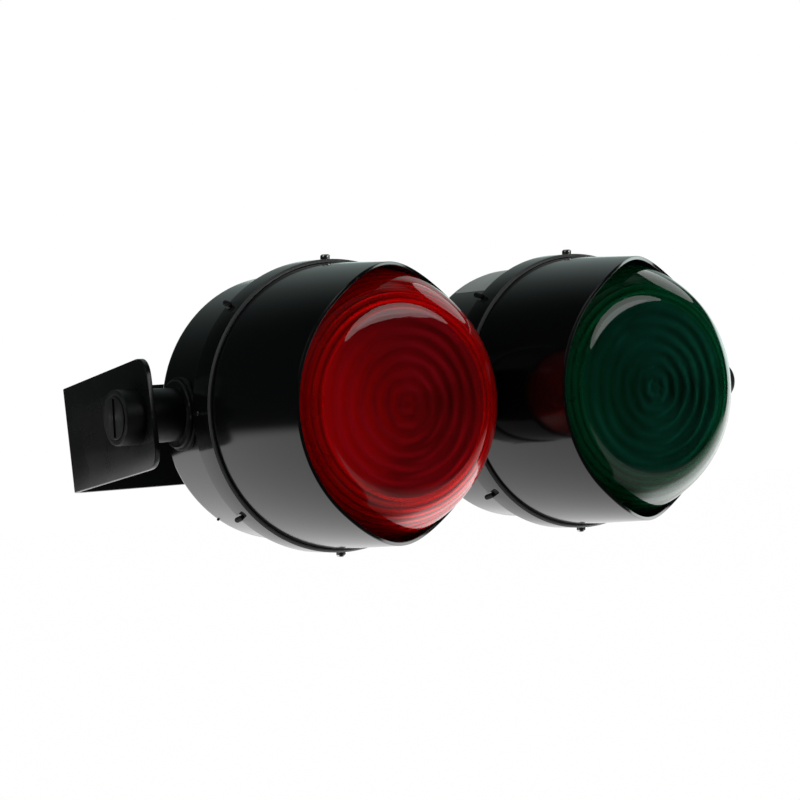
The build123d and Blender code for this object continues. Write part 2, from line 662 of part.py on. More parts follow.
def pivot_pieces():
    """Every piece on the pivot line, in a frame with its origin midway between the lamps."""
    pieces = {"coupling_nipple": coupling_nipple(), "coupling_collar": coupling_collar()}
    ends = {
        "seal": entry_seal(),
        "disc": disc(),
        "spacer": spacer(),
        "stem": stem(),
        "lock_ring": lock_ring(),
    }
    for name, piece in ends.items():
        pieces["right_" + name] = piece
        pieces["left_" + name] = mirror(piece, Plane.YZ)
    pieces["blanking_plug"] = mirror(blanking_plug(), Plane.YZ)
    pieces["gland_body"] = gland_body()
    pieces["gland_seal"] = gland_seal()
    pieces["gland_nut"] = gland_nut()
    return pieces


def all_pieces():
    """Node names and their placed solids."""
    nodes = {"bracket": bracket()}
    for name, piece in pivot_pieces().items():
        nodes[name] = PIVOT * piece
    one_lamp = lamp_pieces()
    for colour, side in LAMPS.items():
        for name, piece in one_lamp.items():
            nodes[colour + "_" + name] = PIVOT * Pos(side * LAMP_PITCH / 2, 0, 0) * piece
    return nodes


os.makedirs("parts", exist_ok=True)
for node, solid in all_pieces().items():
    export_step(solid, f"parts/{node}.step")
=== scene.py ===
"""Looks of a twin LED signal lamp on a U bracket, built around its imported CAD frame.

Shapes are drawn in millimetres in the lamps' own space: the origin is midway between the lamps on
their pivot line, the front is -Y, and "forward" is a distance in front of that line. They are then
turned and scaled into the frame, in metres.
"""

import json
import logging
import math
from dataclasses import dataclass
from enum import Enum
from typing import Callable, Sequence

import bmesh
import bpy
from mathutils import Matrix, Vector
from mathutils.geometry import intersect_point_line


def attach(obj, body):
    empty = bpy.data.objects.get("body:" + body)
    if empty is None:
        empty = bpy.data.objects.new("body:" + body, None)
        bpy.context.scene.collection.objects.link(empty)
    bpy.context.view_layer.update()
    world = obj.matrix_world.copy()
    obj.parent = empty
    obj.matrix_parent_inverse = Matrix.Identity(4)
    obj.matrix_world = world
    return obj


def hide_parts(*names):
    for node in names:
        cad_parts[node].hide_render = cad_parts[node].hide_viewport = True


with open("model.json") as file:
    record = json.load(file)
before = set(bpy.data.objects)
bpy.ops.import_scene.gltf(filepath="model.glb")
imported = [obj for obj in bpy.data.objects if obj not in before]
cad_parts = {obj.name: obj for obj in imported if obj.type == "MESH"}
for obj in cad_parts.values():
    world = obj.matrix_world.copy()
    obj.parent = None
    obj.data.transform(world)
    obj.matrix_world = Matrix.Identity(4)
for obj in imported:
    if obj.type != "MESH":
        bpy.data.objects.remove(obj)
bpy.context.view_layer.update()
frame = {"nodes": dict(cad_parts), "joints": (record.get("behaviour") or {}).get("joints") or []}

MM = 0.001
LOG = logging.getLogger("signal_lamp")
ROUND_SHARE = 0.48  # most of a side that one round may take
SETTLING = 40  # passes in which a smooth curve settles

Colour = tuple[float, float, float]
Profile = list[tuple[float, float]]
Polar = tuple[float, float, float]
Range = tuple[float, float]
Section = list[Vector]
Mesh = bmesh.types.BMesh
Node = bpy.types.Node
Socket = bpy.types.NodeSocket


class Axis(Enum):
    """The line that a turned piece goes round."""

    LAMP = "lamp"
    PIVOT = "pivot"


class Body(Enum):
    """The two bodies of the frame."""

    BRACKET = "bracket"
    LAMPS = "lamps"


class Lamp(Enum):
    """The two lamps, by the side of the middle on which they hang."""

    RED = -1
    GREEN = 1

    @property
    def word(self) -> str:
        """The lamp's name as its nodes have it."""
        return self.name.lower()


@dataclass(frozen=True)
class LampSpace:
    """The lamps' own space, and how it lies in the frame."""

    aim: float = 8.0
    pitch: float = 164.0

    def turn(self) -> Matrix:
        """The turn from the bracket's directions to the lamps' directions."""
        return Matrix.Rotation(math.radians(self.aim), 4, "X")

    def origin(self) -> Vector:
        """Where the lamps' space has its origin, in metres."""
        return Vector(frame["joints"][0]["pos_m"])

    def place(self, side: int = 0) -> Matrix:
        """Gives the matrix that takes millimetres in the lamps' space to metres in the frame.

        Args:
            side: -1 for the red lamp, 1 for the green one, 0 for the middle.

        Returns:
            The whole placing matrix.
        """
        shift = Matrix.Translation((side * self.pitch / 2, 0, 0))
        return Matrix.Translation(self.origin()) @ self.turn() @ Matrix.Scale(MM, 4) @ shift


SPACE = LampSpace()


def polar(radius: float, angle: float, forward: float) -> Vector:
    """The point at a radius, an angle in radians and a distance forward in a lamp's space."""
    return Vector((radius * math.cos(angle), -forward, radius * math.sin(angle)))


def rounded(corners: Sequence[tuple[float, float, float]], closed: bool = True,
            steps: int = 4) -> Profile:
    """Rounds the corners of a profile.

    Args:
        corners: Points as (first, second, size of the round) in millimetres.
        closed: Whether the last point joins the first.
        steps: Points in each round, less one.

    Returns:
        The profile's points.
    """
    points: Profile = []
    count = len(corners)
    for index, (a, b, size) in enumerate(corners):
        here = Vector((a, b))
        if size == 0 or (not closed and index in (0, count - 1)):
            points.append((a, b))
            continue
        before = Vector(corners[index - 1][:2]) - here
        after = Vector(corners[(index + 1) % count][:2]) - here
        half = before.angle(after) / 2
        reach = min(size / math.tan(half), ROUND_SHARE * before.length, ROUND_SHARE * after.length)
        start = here + before.normalized() * reach
        end = here + after.normalized() * reach
        for step in range(steps + 1):
            t = step / steps
            point = start * (1 - t) ** 2 + here * (2 * t * (1 - t)) + end * t**2
            points.append((point.x, point.y))
    return points


def smooth_curve(points: Sequence[Vector], first: Vector, last: Vector, steps: int) -> list[Vector]:
    """Runs a smooth cubic curve through points, with given directions at both ends.

    Args:
        points: The points to pass, in order.
        first: Direction at the first point.
        last: Direction at the last point.
        steps: Samples in each span.

    Returns:
        Samples along the curve, both ends included.
    """
    spans = [(b - a).length for a, b in zip(points, points[1:])]
    slopes = [first.normalized()] + [Vector((0, 0))] * (len(points) - 2) + [last.normalized()]
    for _ in range(SETTLING):
        for i in range(1, len(points) - 1):
            h0, h1 = spans[i - 1], spans[i]
            pull = 3 * ((points[i] - points[i - 1]) / h0**2 + (points[i + 1] - points[i]) / h1**2)
            slopes[i] = (pull - slopes[i - 1] / h0 - slopes[i + 1] / h1) / (2 / h0 + 2 / h1)
    samples = [points[0]]
    for i, h in enumerate(spans):
        for step in range(1, steps + 1):
            t = step / steps
            samples.append(
                points[i] * (2 * t**3 - 3 * t**2 + 1)
                + slopes[i] * h * (t**3 - 2 * t**2 + t)
                + points[i + 1] * (3 * t**2 - 2 * t**3)
                + slopes[i + 1] * h * (t**3 - t**2)
            )
    return samples


def skin(sections: Sequence[Section], finish_of: Callable[[int], int] = lambda step: 0,
         crests: Sequence[float] = ()) -> Mesh:
    """Joins closed sections, one after the other in a ring, into one closed surface.

    Args:
        sections: Sections with the same number of points.
        finish_of: Material index for the strip that starts at a point of the section.
        crests: Optional value for each point of the section, kept as the attribute "crest".

    Returns:
        The closed surface, with its poles welded.
    """
    mesh = bmesh.new()
    layer = mesh.verts.layers.float.new("crest") if crests else None
    rings = [[mesh.verts.new(point) for point in section] for section in sections]
    size = len(rings[0])
    if layer is not None:
        for ring in rings:
            for vert, crest in zip(ring, crests):
                vert[layer] = crest
    for ring, following in zip(rings, rings[1:] + rings[:1]):
        for step in range(size):
            ahead = (step + 1) % size
            face = mesh.faces.new((ring[step], ring[ahead], following[ahead], following[step]))
            face.material_index = finish_of(step)
    bmesh.ops.remove_doubles(mesh, verts=mesh.verts, dist=1e-4)
    bmesh.ops.dissolve_degenerate(mesh, edges=mesh.edges, dist=1e-5)
    bmesh.ops.recalc_face_normals(mesh, faces=mesh.faces)
    return mesh


def turned(profile: Profile, axis: Axis, segments: int,
           wobble: Callable[[float, int], float] | None = None,
           finish_of: Callable[[int], int] = lambda step: 0, crests: Sequence[float] = ()) -> Mesh:
    """Turns a closed profile round an axis.

    Args:
        profile: (radius, forward) points about the lamp's axis, or (x, radius) about the pivot line.
        axis: The axis.
        segments: Steps round the axis.
        wobble: Optional change of radius from the angle and the point's number.
        finish_of: Material index for the strip that starts at a point of the profile.
        crests: Optional value for each point of the profile, as in skin().

    Returns:
        The turned surface.
    """
    sections = []
    for segment in range(segments):
        angle = 2 * math.pi * segment / segments
        section = []
        for step, (a, b) in enumerate(profile):
            radius = a if axis is Axis.LAMP else b
            if wobble and radius > 0:
                radius += wobble(angle, step)
            if axis is Axis.LAMP:
                section.append(polar(radius, angle, b))
            else:
                section.append(Vector((a, radius * math.cos(angle), radius * math.sin(angle))))
        sections.append(section)
    return skin(sections, finish_of, crests)


def to_object(name: str, mesh: Mesh, hard_angle: float = 32.0) -> bpy.types.Object:
    """Makes an object of a mesh, smooth apart from its hard edges.

    Args:
        name: Name of the object.
        mesh: The mesh, which is freed.
        hard_angle: Edges that turn more than this many degrees stay hard.

    Returns:
        The new object, linked to the scene.
    """
    for face in mesh.faces:
        face.smooth = True
    for edge in mesh.edges:
        edge.smooth = edge.calc_face_angle(0) < math.radians(hard_angle)
    data = bpy.data.meshes.new(name)
    mesh.to_mesh(data)
    mesh.free()
    made = bpy.data.objects.new(name, data)
    bpy.context.scene.collection.objects.link(made)
    return made


def evaluated_mesh(source: bpy.types.Object) -> Mesh:
    """Takes an object's final mesh and removes the object.

    Args:
        source: A mesh or curve object.

    Returns:
        Its mesh with modifiers applied, in the object's own space.
    """
    bpy.context.view_layer.update()
    graph = bpy.context.evaluated_depsgraph_get()
    data = bpy.data.meshes.new_from_object(source.evaluated_get(graph), depsgraph=graph)
    mesh = bmesh.new()
    mesh.from_mesh(data)
    bpy.data.meshes.remove(data)
    bpy.data.objects.remove(source)
    return mesh


def carved(name: str, mesh: Mesh, cutters: Sequence[Mesh],
           added: Sequence[Mesh] = ()) -> Mesh:
    """Cuts closed shapes out of a mesh, and joins others to it.

    Args:
        name: A name for the working objects.
        mesh: The mesh to carve.
        cutters: Shapes to take away.
        added: Shapes to join.

    Returns:
        The carved mesh.
    """
    target = to_object(name, mesh)
    tools = []
    for operation, shapes in (("DIFFERENCE", cutters), ("UNION", added)):
        for shape in shapes:
            tool = to_object(name + "_tool", shape)
            step = target.modifiers.new("carve", "BOOLEAN")
            step.operation = operation
            step.solver = "EXACT"
            step.object = tool
            tools.append(tool)
    result = evaluated_mesh(target)
    for tool in tools:
        bpy.data.objects.remove(tool)
    return result


def capsule(radius: float, start: Vector, end: Vector) -> Mesh:
    """A round bar with domed ends.

    Args:
        radius: Its radius.
        start: Centre of one dome.
        end: Centre of the other.

    Returns:
        The closed mesh.
    """
    length = (end - start).length
    arc = [math.pi / 2 * step / 8 for step in range(9)]
    profile = [(radius * math.sin(a), -radius * math.cos(a)) for a in arc]
    profile += [(radius * math.cos(a), length + radius * math.sin(a)) for a in arc]
    mesh = turned(profile, Axis.LAMP, 32)
    turn = Vector((0, -1, 0)).rotation_difference(end - start).to_matrix().to_4x4() if length else Matrix()
    bmesh.ops.transform(mesh, matrix=Matrix.Translation(start) @ turn, verts=mesh.verts)
    return mesh


class Tree:
    """Adds and links the nodes of one shader tree."""

    def __init__(self, tree: bpy.types.NodeTree) -> None:
        """Keeps the tree."""
        self.tree = tree

    def add(self, kind: str, inputs: dict | None = None, **settings: object) -> Node:
        """Adds a node.

        Args:
            kind: The node's type name.
            inputs: Values or output sockets, by the name or number of the input.
            settings: Properties of the node.

        Returns:
            The new node.
        """
        node = self.tree.nodes.new(kind)
        for name, value in settings.items():
            setattr(node, name, value)
        for name, value in (inputs or {}).items():
            if isinstance(value, Socket):
                self.tree.links.new(value, node.inputs[name])
            else:
                node.inputs[name].default_value = value
        return node

    def math(self, operation: str, *values: object) -> Socket:
        """Adds a math node and gives its output."""
        return self.add("ShaderNodeMath", dict(enumerate(values)), operation=operation).outputs[0]

    def product(self, first: object, *others: object) -> Socket:
        """Multiplies values in order and gives the last output.

        Args:
            first: First value or socket.
            others: The values or sockets to multiply it by.

        Returns:
            The product's socket.
        """
        for other in others:
            first = self.math("MULTIPLY", first, other)
        return first

    def sum(self, first: object, *others: object) -> Socket:
        """Adds values in order and gives the last output.

        Args:
            first: First value or socket.
            others: The values or sockets to add to it.

        Returns:
            The sum's socket.
        """
        for other in others:
            first = self.math("ADD", first, other)
        return first

    def place(self) -> Socket:
        """Gives the place in the object's own space."""
        return self.add("ShaderNodeTexCoord").outputs["Object"]

    def bump(self, height: object, distance: float) -> Node:
        """Adds a bump of a height and gives its node."""
        return self.add("ShaderNodeBump", {"Height": height, "Strength": 1.0, "Distance": distance})

    def ramp(self, value: object, low: float, high: float, start: float = 0.0, end: float = 1.0) -> Socket:
        """Maps a range of values to another, eased in and out and held at its ends.

        Args:
            value: The value or socket to map.
            low: Value that gives start.
            high: Value that gives end.
            start: First result.
            end: Last result.

        Returns:
            The result's socket.
        """
        inputs = {"Value": value, "From Min": low, "From Max": high, "To Min": start, "To Max": end}
        return self.add("ShaderNodeMapRange", inputs, interpolation_type="SMOOTHSTEP").outputs["Result"]

    def mix(self, factor: object, first: object, second: object) -> Socket:
        """Mixes two colours and gives the output.

        Args:
            factor: Share of the second colour, as a value or a socket.
            first: First colour or its socket.
            second: Second colour or its socket.

        Returns:
            The mixed colour's socket.
        """
        node = self.add("ShaderNodeMix", data_type="RGBA")
        for name, value in (("Factor_Float", factor), ("A_Color", first), ("B_Color", second)):
            socket = next(s for s in node.inputs if s.identifier == name)
            if isinstance(value, Socket):
                self.tree.links.new(value, socket)
            else:
                socket.default_value = (*value, 1) if isinstance(value, tuple) and len(value) == 3 else value
        return next(s for s in node.outputs if s.identifier == "Result_Color")

    def noise(self, where: object, scale: float, detail: float, rough: float = 0.55) -> Socket:
        """Adds smooth noise over a place and gives its value."""
        inputs = {"Vector": where, "Scale": scale, "Detail": detail, "Roughness": rough}
        return self.add("ShaderNodeTexNoise", inputs).outputs[0]


PATCH_RANGE = (0.35, 0.65)  # noise values between which a slow patch comes in
EDGE_WEAR_AND_HIGHLIGHT = (0.52, 0.6)  # pointiness between which an edge takes the paler colour: rubbed on most pieces, a painted highlight on the bracket
EDGE_BREAK_SCALE = 160.0  # scale of the noise that breaks up the paler edges
EDGE_BREAK_PATCH = (0.38, 0.62)  # noise values between which the paler edges break up
SPECK_EDGE = (0.02, 0.05)  # distances between which a speck of dust fades


class Effect(Enum):
    """Effects that several materials share, each a node group made once."""

    GRAIN = "mould_grain"
    WEAR = "edge_wear_and_highlight"
    DUST = "dust"

    def group(self) -> bpy.types.NodeTree:
        """Gives the effect's node group, which it makes on first use."""
        return bpy.data.node_groups.get(self.value) or getattr(self, "_" + self.name.lower())()

    def use(self, tree: Tree, **inputs: object) -> Node:
        """Places the effect in a material.

        Args:
            tree: The material's tree.
            inputs: Values or sockets, by input name with underscores for spaces.

        Returns:
            The group's node.
        """
        node = tree.add("ShaderNodeGroup", node_tree=self.group())
        for name, value in inputs.items():
            socket = node.inputs[name.replace("_", " ")]
            if isinstance(value, Socket):
                tree.tree.links.new(value, socket)
            else:
                socket.default_value = (*value, 1) if isinstance(value, tuple) else value
        return node

    def _start(self, inputs: dict, outputs: dict) -> tuple[bpy.types.NodeTree, Tree, Node, Node]:
        """Makes an empty group with named sockets.

        Args:
            inputs: Default value by name; a colour is a tuple.
            outputs: Socket type by name.

        Returns:
            The group, its tree helper, its input node and its output node.
        """
        group = bpy.data.node_groups.new(self.value, "ShaderNodeTree")
        for name, value in inputs.items():
            kind = "NodeSocketColor" if isinstance(value, tuple) else "NodeSocketFloat"
            socket = group.interface.new_socket(name=name, in_out="INPUT", socket_type=kind)
            socket.default_value = (*value, 1) if isinstance(value, tuple) else value
        for name, kind in outputs.items():
            group.interface.new_socket(name=name, in_out="OUTPUT", socket_type=kind)
        tree = Tree(group)
        return group, tree, tree.add("NodeGroupInput"), tree.add("NodeGroupOutput")

    def _grain(self) -> bpy.types.NodeTree:
        """Fine mould texture: a height, and slow patches for roughness.

        Returns:
            The node group.
        """
        group, tree, given, out = self._start(
            {"Scale": 900.0, "Patch Scale": 18.0}, {"Height": "NodeSocketFloat", "Patch": "NodeSocketFloat"})
        where = tree.place()
        fine, patch = (
            tree.add("ShaderNodeTexNoise", {"Vector": where, "Scale": given.outputs[scale], "Detail": detail})
            for scale, detail in (("Scale", 3.0), ("Patch Scale", 4.0)))
        group.links.new(fine.outputs[0], out.inputs["Height"])
        group.links.new(tree.ramp(patch.outputs[0], *PATCH_RANGE), out.inputs["Patch"])
        return group

    def _wear(self) -> bpy.types.NodeTree:
        """Paler colour on outer edges, broken up by noise: rubbed on most pieces, a painted highlight along
        the bracket's edges.

        Returns:
            The node group.
        """
        group, tree, given, out = self._start(
            {"Base": (0.01, 0.01, 0.01), "Worn": (0.1, 0.1, 0.1), "Amount": 0.5},
            {"Color": "NodeSocketColor", "Mask": "NodeSocketFloat"})
        edge = tree.ramp(tree.add("ShaderNodeNewGeometry").outputs["Pointiness"], *EDGE_WEAR_AND_HIGHLIGHT)
        broken = tree.ramp(tree.noise(tree.place(), EDGE_BREAK_SCALE, 5.0), *EDGE_BREAK_PATCH)
        mask = tree.product(edge, broken, given.outputs["Amount"])
        group.links.new(mask, out.inputs["Mask"])
        group.links.new(tree.mix(mask, given.outputs["Base"], given.outputs["Worn"]), out.inputs["Color"])
        return group

    def _dust(self) -> bpy.types.NodeTree:
        """Sparse specks of dust, each smaller than a millimetre.

        Returns:
            The node group.
        """
        group, tree, given, out = self._start(
            {"Base": (0.01, 0.01, 0.01), "Speck": (0.4, 0.4, 0.4), "Scale": 140.0, "Share": 0.05},
            {"Color": "NodeSocketColor", "Mask": "NodeSocketFloat"})
        cells = tree.add("ShaderNodeTexVoronoi", {"Vector": tree.place(), "Scale": given.outputs["Scale"]})
        pick = tree.add("ShaderNodeSeparateColor", {"Color": cells.outputs["Color"]}).outputs[0]
        chosen = tree.math("LESS_THAN", pick, given.outputs["Share"])
        near = tree.ramp(cells.outputs["Distance"], *SPECK_EDGE, 1.0, 0.0)
        mask = tree.product(chosen, near)
        group.links.new(mask, out.inputs["Mask"])
        group.links.new(tree.mix(mask, given.outputs["Base"], given.outputs["Speck"]), out.inputs["Color"])
        return group


def new_material(name: str) -> tuple[bpy.types.Material, Tree, Node]:
    """Starts a material with one Principled shader.

    Args:
        name: Name of the material.

    Returns:
        The material, its tree helper and its shader.
    """
    material = bpy.data.materials.new(name)
    material.use_nodes = True
    tree = Tree(material.node_tree)
    return material, tree, material.node_tree.nodes["Principled BSDF"]


def join(tree: Tree, shader: Node, colour: Socket, rough: Socket, bump: Node, **values: float) -> None:
    """Joins colour, roughness and bump to a shader, and sets its plain values.

    Args:
        tree: The material's tree helper.
        shader: The shader.
        colour: Socket of the base colour.
        rough: Socket of the roughness.
        bump: The bump's node.
        values: Values by socket name with underscores for spaces.
    """
    for name, socket in (("Base Color", colour), ("Roughness", rough), ("Normal", bump.outputs["Normal"])):
        tree.tree.links.new(socket, shader.inputs[name])
    for name, value in values.items():
        shader.inputs[name.replace("_", " ")].default_value = value


DUSTY_ROUGH = 0.3  # what a speck of dust adds to a moulding's roughness
DUSTY_LENS_ROUGH = 0.4  # what it adds to a lens's roughness
BOWED_FROM = (0.05, 0.18)  # metres from the middle between which the bracket's bow sets in


@dataclass(frozen=True)
class Moulding:
    """A plastic, rubber or paint: grained, dusty, and paler on its edges, which are rubbed on most pieces and
    a painted highlight on the bracket.

    Its bow is a slow curve across the piece's height, as of rolled sheet.
    """

    name: str
    colour: Colour
    worn: Colour
    roughness: float
    uneven: float = 0.06
    grain_scale: float = 900.0
    grain_depth: float = 0.00002
    wear: float = 0.5
    dust: float = 0.03
    ior: float = 1.5
    bow: float = 0.0

    def material(self) -> bpy.types.Material:
        """Builds the finish's material.

        Returns:
            The material.
        """
        material, tree, shader = new_material(self.name)
        grain = Effect.GRAIN.use(tree, Scale=self.grain_scale)
        worn = Effect.WEAR.use(tree, Base=self.colour, Worn=self.worn, Amount=self.wear)
        dusty = Effect.DUST.use(tree, Base=worn.outputs["Color"], Share=self.dust)
        low, high = self.roughness - self.uneven, self.roughness + self.uneven
        rough = tree.ramp(grain.outputs["Patch"], 0, 1, low, high)
        bump = tree.bump(grain.outputs["Height"], self.grain_depth)
        if self.bow:
            parts = tree.add("ShaderNodeSeparateXYZ", {"Vector": tree.place()}).outputs
            flanges = tree.ramp(tree.math("ABSOLUTE", parts["X"]), *BOWED_FROM)
            slow = tree.bump(tree.product(parts["Z"], parts["Z"], -self.bow, flanges), 1.0)
            tree.tree.links.new(slow.outputs["Normal"], bump.inputs["Normal"])
        rough = tree.sum(rough, tree.product(dusty.outputs["Mask"], DUSTY_ROUGH))
        join(tree, shader, dusty.outputs["Color"], rough, bump, IOR=self.ior)
        return material


@dataclass(frozen=True)
class ClearMoulding:
    """Clear coloured lens plastic: polished outside, satin and milky where the rings are, with painted shade:
    the rings' valleys are darker than their crests.
    """

    name: str
    colour: Colour
    roughness: float
    ripple: float = 0.0
    clear: float = 1.0
    valley_painted_shade: float = 1.0
    crest_from: float = 0.1
    crest_to: float = 0.95
    mirror: float = 0.0
    ior: float = 1.49
    uneven: float = 0.2
    grain_scale: float = 60.0
    patch_scale: float = 30.0
    speck: Colour = (0.9, 0.8, 0.8)
    speck_scale: float = 110.0
    dust: float = 0.02

    def material(self) -> bpy.types.Material:
        """Builds the finish's material.

        Returns:
            The material.
        """
        material, tree, shader = new_material(self.name)
        grain = Effect.GRAIN.use(tree, Scale=self.grain_scale, Patch_Scale=self.patch_scale)
        crest = tree.add("ShaderNodeAttribute", attribute_name="crest").outputs["Fac"]
        # Painted shade: the colour is darkened in the ring valleys and full on the crests.
        valley_painted_shade = tuple(self.valley_painted_shade * value for value in self.colour)
        ring_shaded_colour = tree.mix(tree.ramp(crest, self.crest_from, self.crest_to), valley_painted_shade, self.colour)
        dusty = Effect.DUST.use(tree, Base=ring_shaded_colour, Speck=self.speck, Scale=self.speck_scale, Share=self.dust)
        low, high = (1 - self.uneven) * self.roughness, (1 + self.uneven) * self.roughness
        rough = tree.ramp(grain.outputs["Patch"], 0, 1, low, high)
        rough = tree.sum(rough, tree.product(dusty.outputs["Mask"], DUSTY_LENS_ROUGH))
        join(tree, shader, dusty.outputs["Color"], rough, tree.bump(grain.outputs["Height"], self.ripple),
             IOR=self.ior, Transmission_Weight=self.clear, Metallic=self.mirror)
        return material


@dataclass(frozen=True)
class Metal:
    """A bare or plated metal with fine scratches."""

    name: str
    colour: Colour
    dull: Colour
    roughness: float
    brushed: tuple[float, float, float] = (1.0, 6.0, 1.0)
    scratch_scale: float = 400.0
    scratch_range: Range = (0.3, 0.7)
    scratch_depth: float = 0.00002
    stain_scale: float = 90.0
    stain_range: Range = (0.4, 0.65)

    def material(self) -> bpy.types.Material:
        """Builds the finish's material.

        Returns:
            The material.
        """
        material, tree, shader = new_material(self.name)
        where = tree.place()
        stretched = tree.add("ShaderNodeMapping", {"Vector": where, "Scale": self.brushed}).outputs[0]
        scratches = tree.noise(stretched, self.scratch_scale, 5.0, 0.7)
        stain = tree.ramp(tree.noise(where, self.stain_scale, 4.0), *self.stain_range)
        rough = tree.ramp(scratches, *self.scratch_range, self.roughness, 2 * self.roughness)
        join(tree, shader, tree.mix(stain, self.colour, self.dull), rough,
             tree.bump(scratches, self.scratch_depth), Metallic=1.0)
        return material


@dataclass(frozen=True)
class Board:
    """A circuit board with solder resist over faint copper tracks."""

    name: str
    colour: Colour
    track: Colour
    track_scale: float = 120.0
    track_edge: Range = (0.7, 0.74)
    track_depth: float = 0.00004
    grain_scale: float = 1500.0
    roughness: Range = (0.3, 0.45)

    def material(self) -> bpy.types.Material:
        """Builds the finish's material.

        Returns:
            The material.
        """
        material, tree, shader = new_material(self.name)
        cells = tree.add("ShaderNodeTexVoronoi", {"Vector": tree.place(), "Scale": self.track_scale},
                         distance="MANHATTAN", feature="F2")
        tracks = tree.ramp(cells.outputs["Distance"], *self.track_edge)
        grain = Effect.GRAIN.use(tree, Scale=self.grain_scale)
        rough = tree.ramp(grain.outputs["Patch"], 0, 1, *self.roughness)
        join(tree, shader, tree.mix(tracks, self.colour, self.track), rough,
             tree.bump(tracks, self.track_depth))
        return material


@dataclass(frozen=True)
class Winding:
    """A taped coil, banded by its turns."""

    name: str
    colour: Colour
    shade: Colour
    turn_scale: float = 900.0
    waver: float = 0.6
    turn_depth: float = 0.0001
    roughness: Range = (0.5, 0.3)

    def material(self) -> bpy.types.Material:
        """Builds the finish's material.

        Returns:
            The material.
        """
        material, tree, shader = new_material(self.name)
        inputs = {"Vector": tree.place(), "Scale": self.turn_scale, "Distortion": self.waver}
        bands = tree.add("ShaderNodeTexWave", inputs, bands_direction="Z").outputs["Fac"]
        rough = tree.ramp(bands, 0, 1, *self.roughness)
        join(tree, shader, tree.mix(bands, self.shade, self.colour), rough,
             tree.bump(bands, self.turn_depth))
        return material


class Slot(Enum):
    """The record's material slots, each with its finish."""

    HOUSING = "housing"
    BRACKET_PAINT = "bracket_paint"
    LENS_RED = "lens_red"
    LENS_GREEN = "lens_green"
    FITTING = "fitting"
    SEAL_RUBBER = "seal_rubber"
    BRIGHT_STEEL = "bright_steel"
    NUT_BRASS = "nut_brass"
    CIRCUIT_BOARD = "circuit_board"
    LED_PACKAGE = "led_package"
    WOUND_CORE = "wound_core"
    CAPACITOR_SLEEVE = "capacitor_sleeve"
    TERMINAL_PLASTIC = "terminal_plastic"


def grey(level: float) -> Colour:
    """A neutral colour of one level."""
    return (level, level, level)


def lens_finishes(name: str, tint: Colour, prism: Colour, milk: Colour) -> list[ClearMoulding]:
    """Gives a lens's finishes: the outside, the shoulder's prisms and the face's rings.

    Args:
        name: Name of the slot.
        tint: Colour of the outside.
        prism: Colour of the prisms.
        milk: Colour of the rings.

    Returns:
        The three finishes, in the order of the mesh's material indices.
    """
    return [ClearMoulding(name, tint, 0.02, 0.00004),
            ClearMoulding(name + "_prisms", prism, 0.3, 0.00005, clear=0.5, valley_painted_shade=0.55, crest_from=0.3,
                          mirror=0.38),
            ClearMoulding(name + "_rings", milk, 0.36, 0.00005, clear=0.95, valley_painted_shade=0.8)]


BLACK: Colour = (0.006, 0.0065, 0.007)
FITTING_BLACK: Colour = (0.014, 0.0145, 0.015)
RED_MILK: Colour = (1.0, 0.006, 0.01)
FINISHES = {
    Slot.HOUSING: [
        Moulding("housing", BLACK, (0.06, 0.062, 0.064), 0.12, 0.02, 700.0, 0.000004, wear=0.35, dust=0.02),
        # Painted highlight: the rim's front bevel and front face are painted pale grey to show the light line
        # that they catch.
        Moulding("housing_edge_painted_highlight", (0.15, 0.152, 0.152), grey(0.2), 0.42, 0.05),
        # Painted shade: near black, rough colour on the faces of the pockets and catches, so that they read
        # dark however they are lit.
        Moulding("housing_pocket_painted_shade", grey(0.006), grey(0.03), 0.75, 0.05, dust=0.1),
    ],
    Slot.BRACKET_PAINT: [
        # Painted highlight: the pale grey on the bracket's edges stands for the light line that the edges
        # catch.
        Moulding("bracket_paint", FITTING_BLACK, grey(0.35), 0.26, 0.04, 1400.0, 0.00003, wear=0.9, bow=2.2),
    ],
    Slot.LENS_RED: lens_finishes("lens_red", (0.9, 0.0005, 0.004), RED_MILK, RED_MILK),
    Slot.LENS_GREEN: lens_finishes("lens_green", (0.0005, 0.1, 0.046), (0.003, 0.4, 0.17),
                                   (0.0015, 0.098, 0.042)),
    Slot.FITTING: [Moulding("fitting", FITTING_BLACK, grey(0.3), 0.5, 0.08, wear=0.8, dust=0.12, ior=1.38)],
    Slot.SEAL_RUBBER: [Moulding("seal_rubber", grey(0.012), grey(0.06), 0.55, 0.08, grain_depth=0.00005,
                                wear=0.3, dust=0.08)],
    Slot.BRIGHT_STEEL: [Metal("bright_steel", (0.74, 0.74, 0.73), (0.5, 0.49, 0.46), 0.14)],
    Slot.NUT_BRASS: [Metal("nut_brass", (0.66, 0.5, 0.24), (0.42, 0.3, 0.14), 0.2)],
    Slot.CIRCUIT_BOARD: [Board("circuit_board", (0.88, 0.88, 0.86), (0.8, 0.81, 0.78))],
    Slot.LED_PACKAGE: [Moulding("led_package", (0.85, 0.78, 0.4), (0.9, 0.9, 0.85), 0.3, wear=0.9)],
    Slot.WOUND_CORE: [Winding("wound_core", (0.36, 0.27, 0.1), (0.2, 0.13, 0.05))],
    Slot.CAPACITOR_SLEEVE: [Moulding("capacitor_sleeve", (0.03, 0.035, 0.08), grey(0.5), 0.25, wear=0.8)],
    Slot.TERMINAL_PLASTIC: [Moulding("terminal_plastic", (0.05, 0.26, 0.1), (0.2, 0.4, 0.2), 0.42)],
}
LABEL_FINISH = Moulding("label_vinyl", (0.93, 0.94, 0.93), grey(0.8), 0.32, 0.05, wear=0.2, dust=0.05)


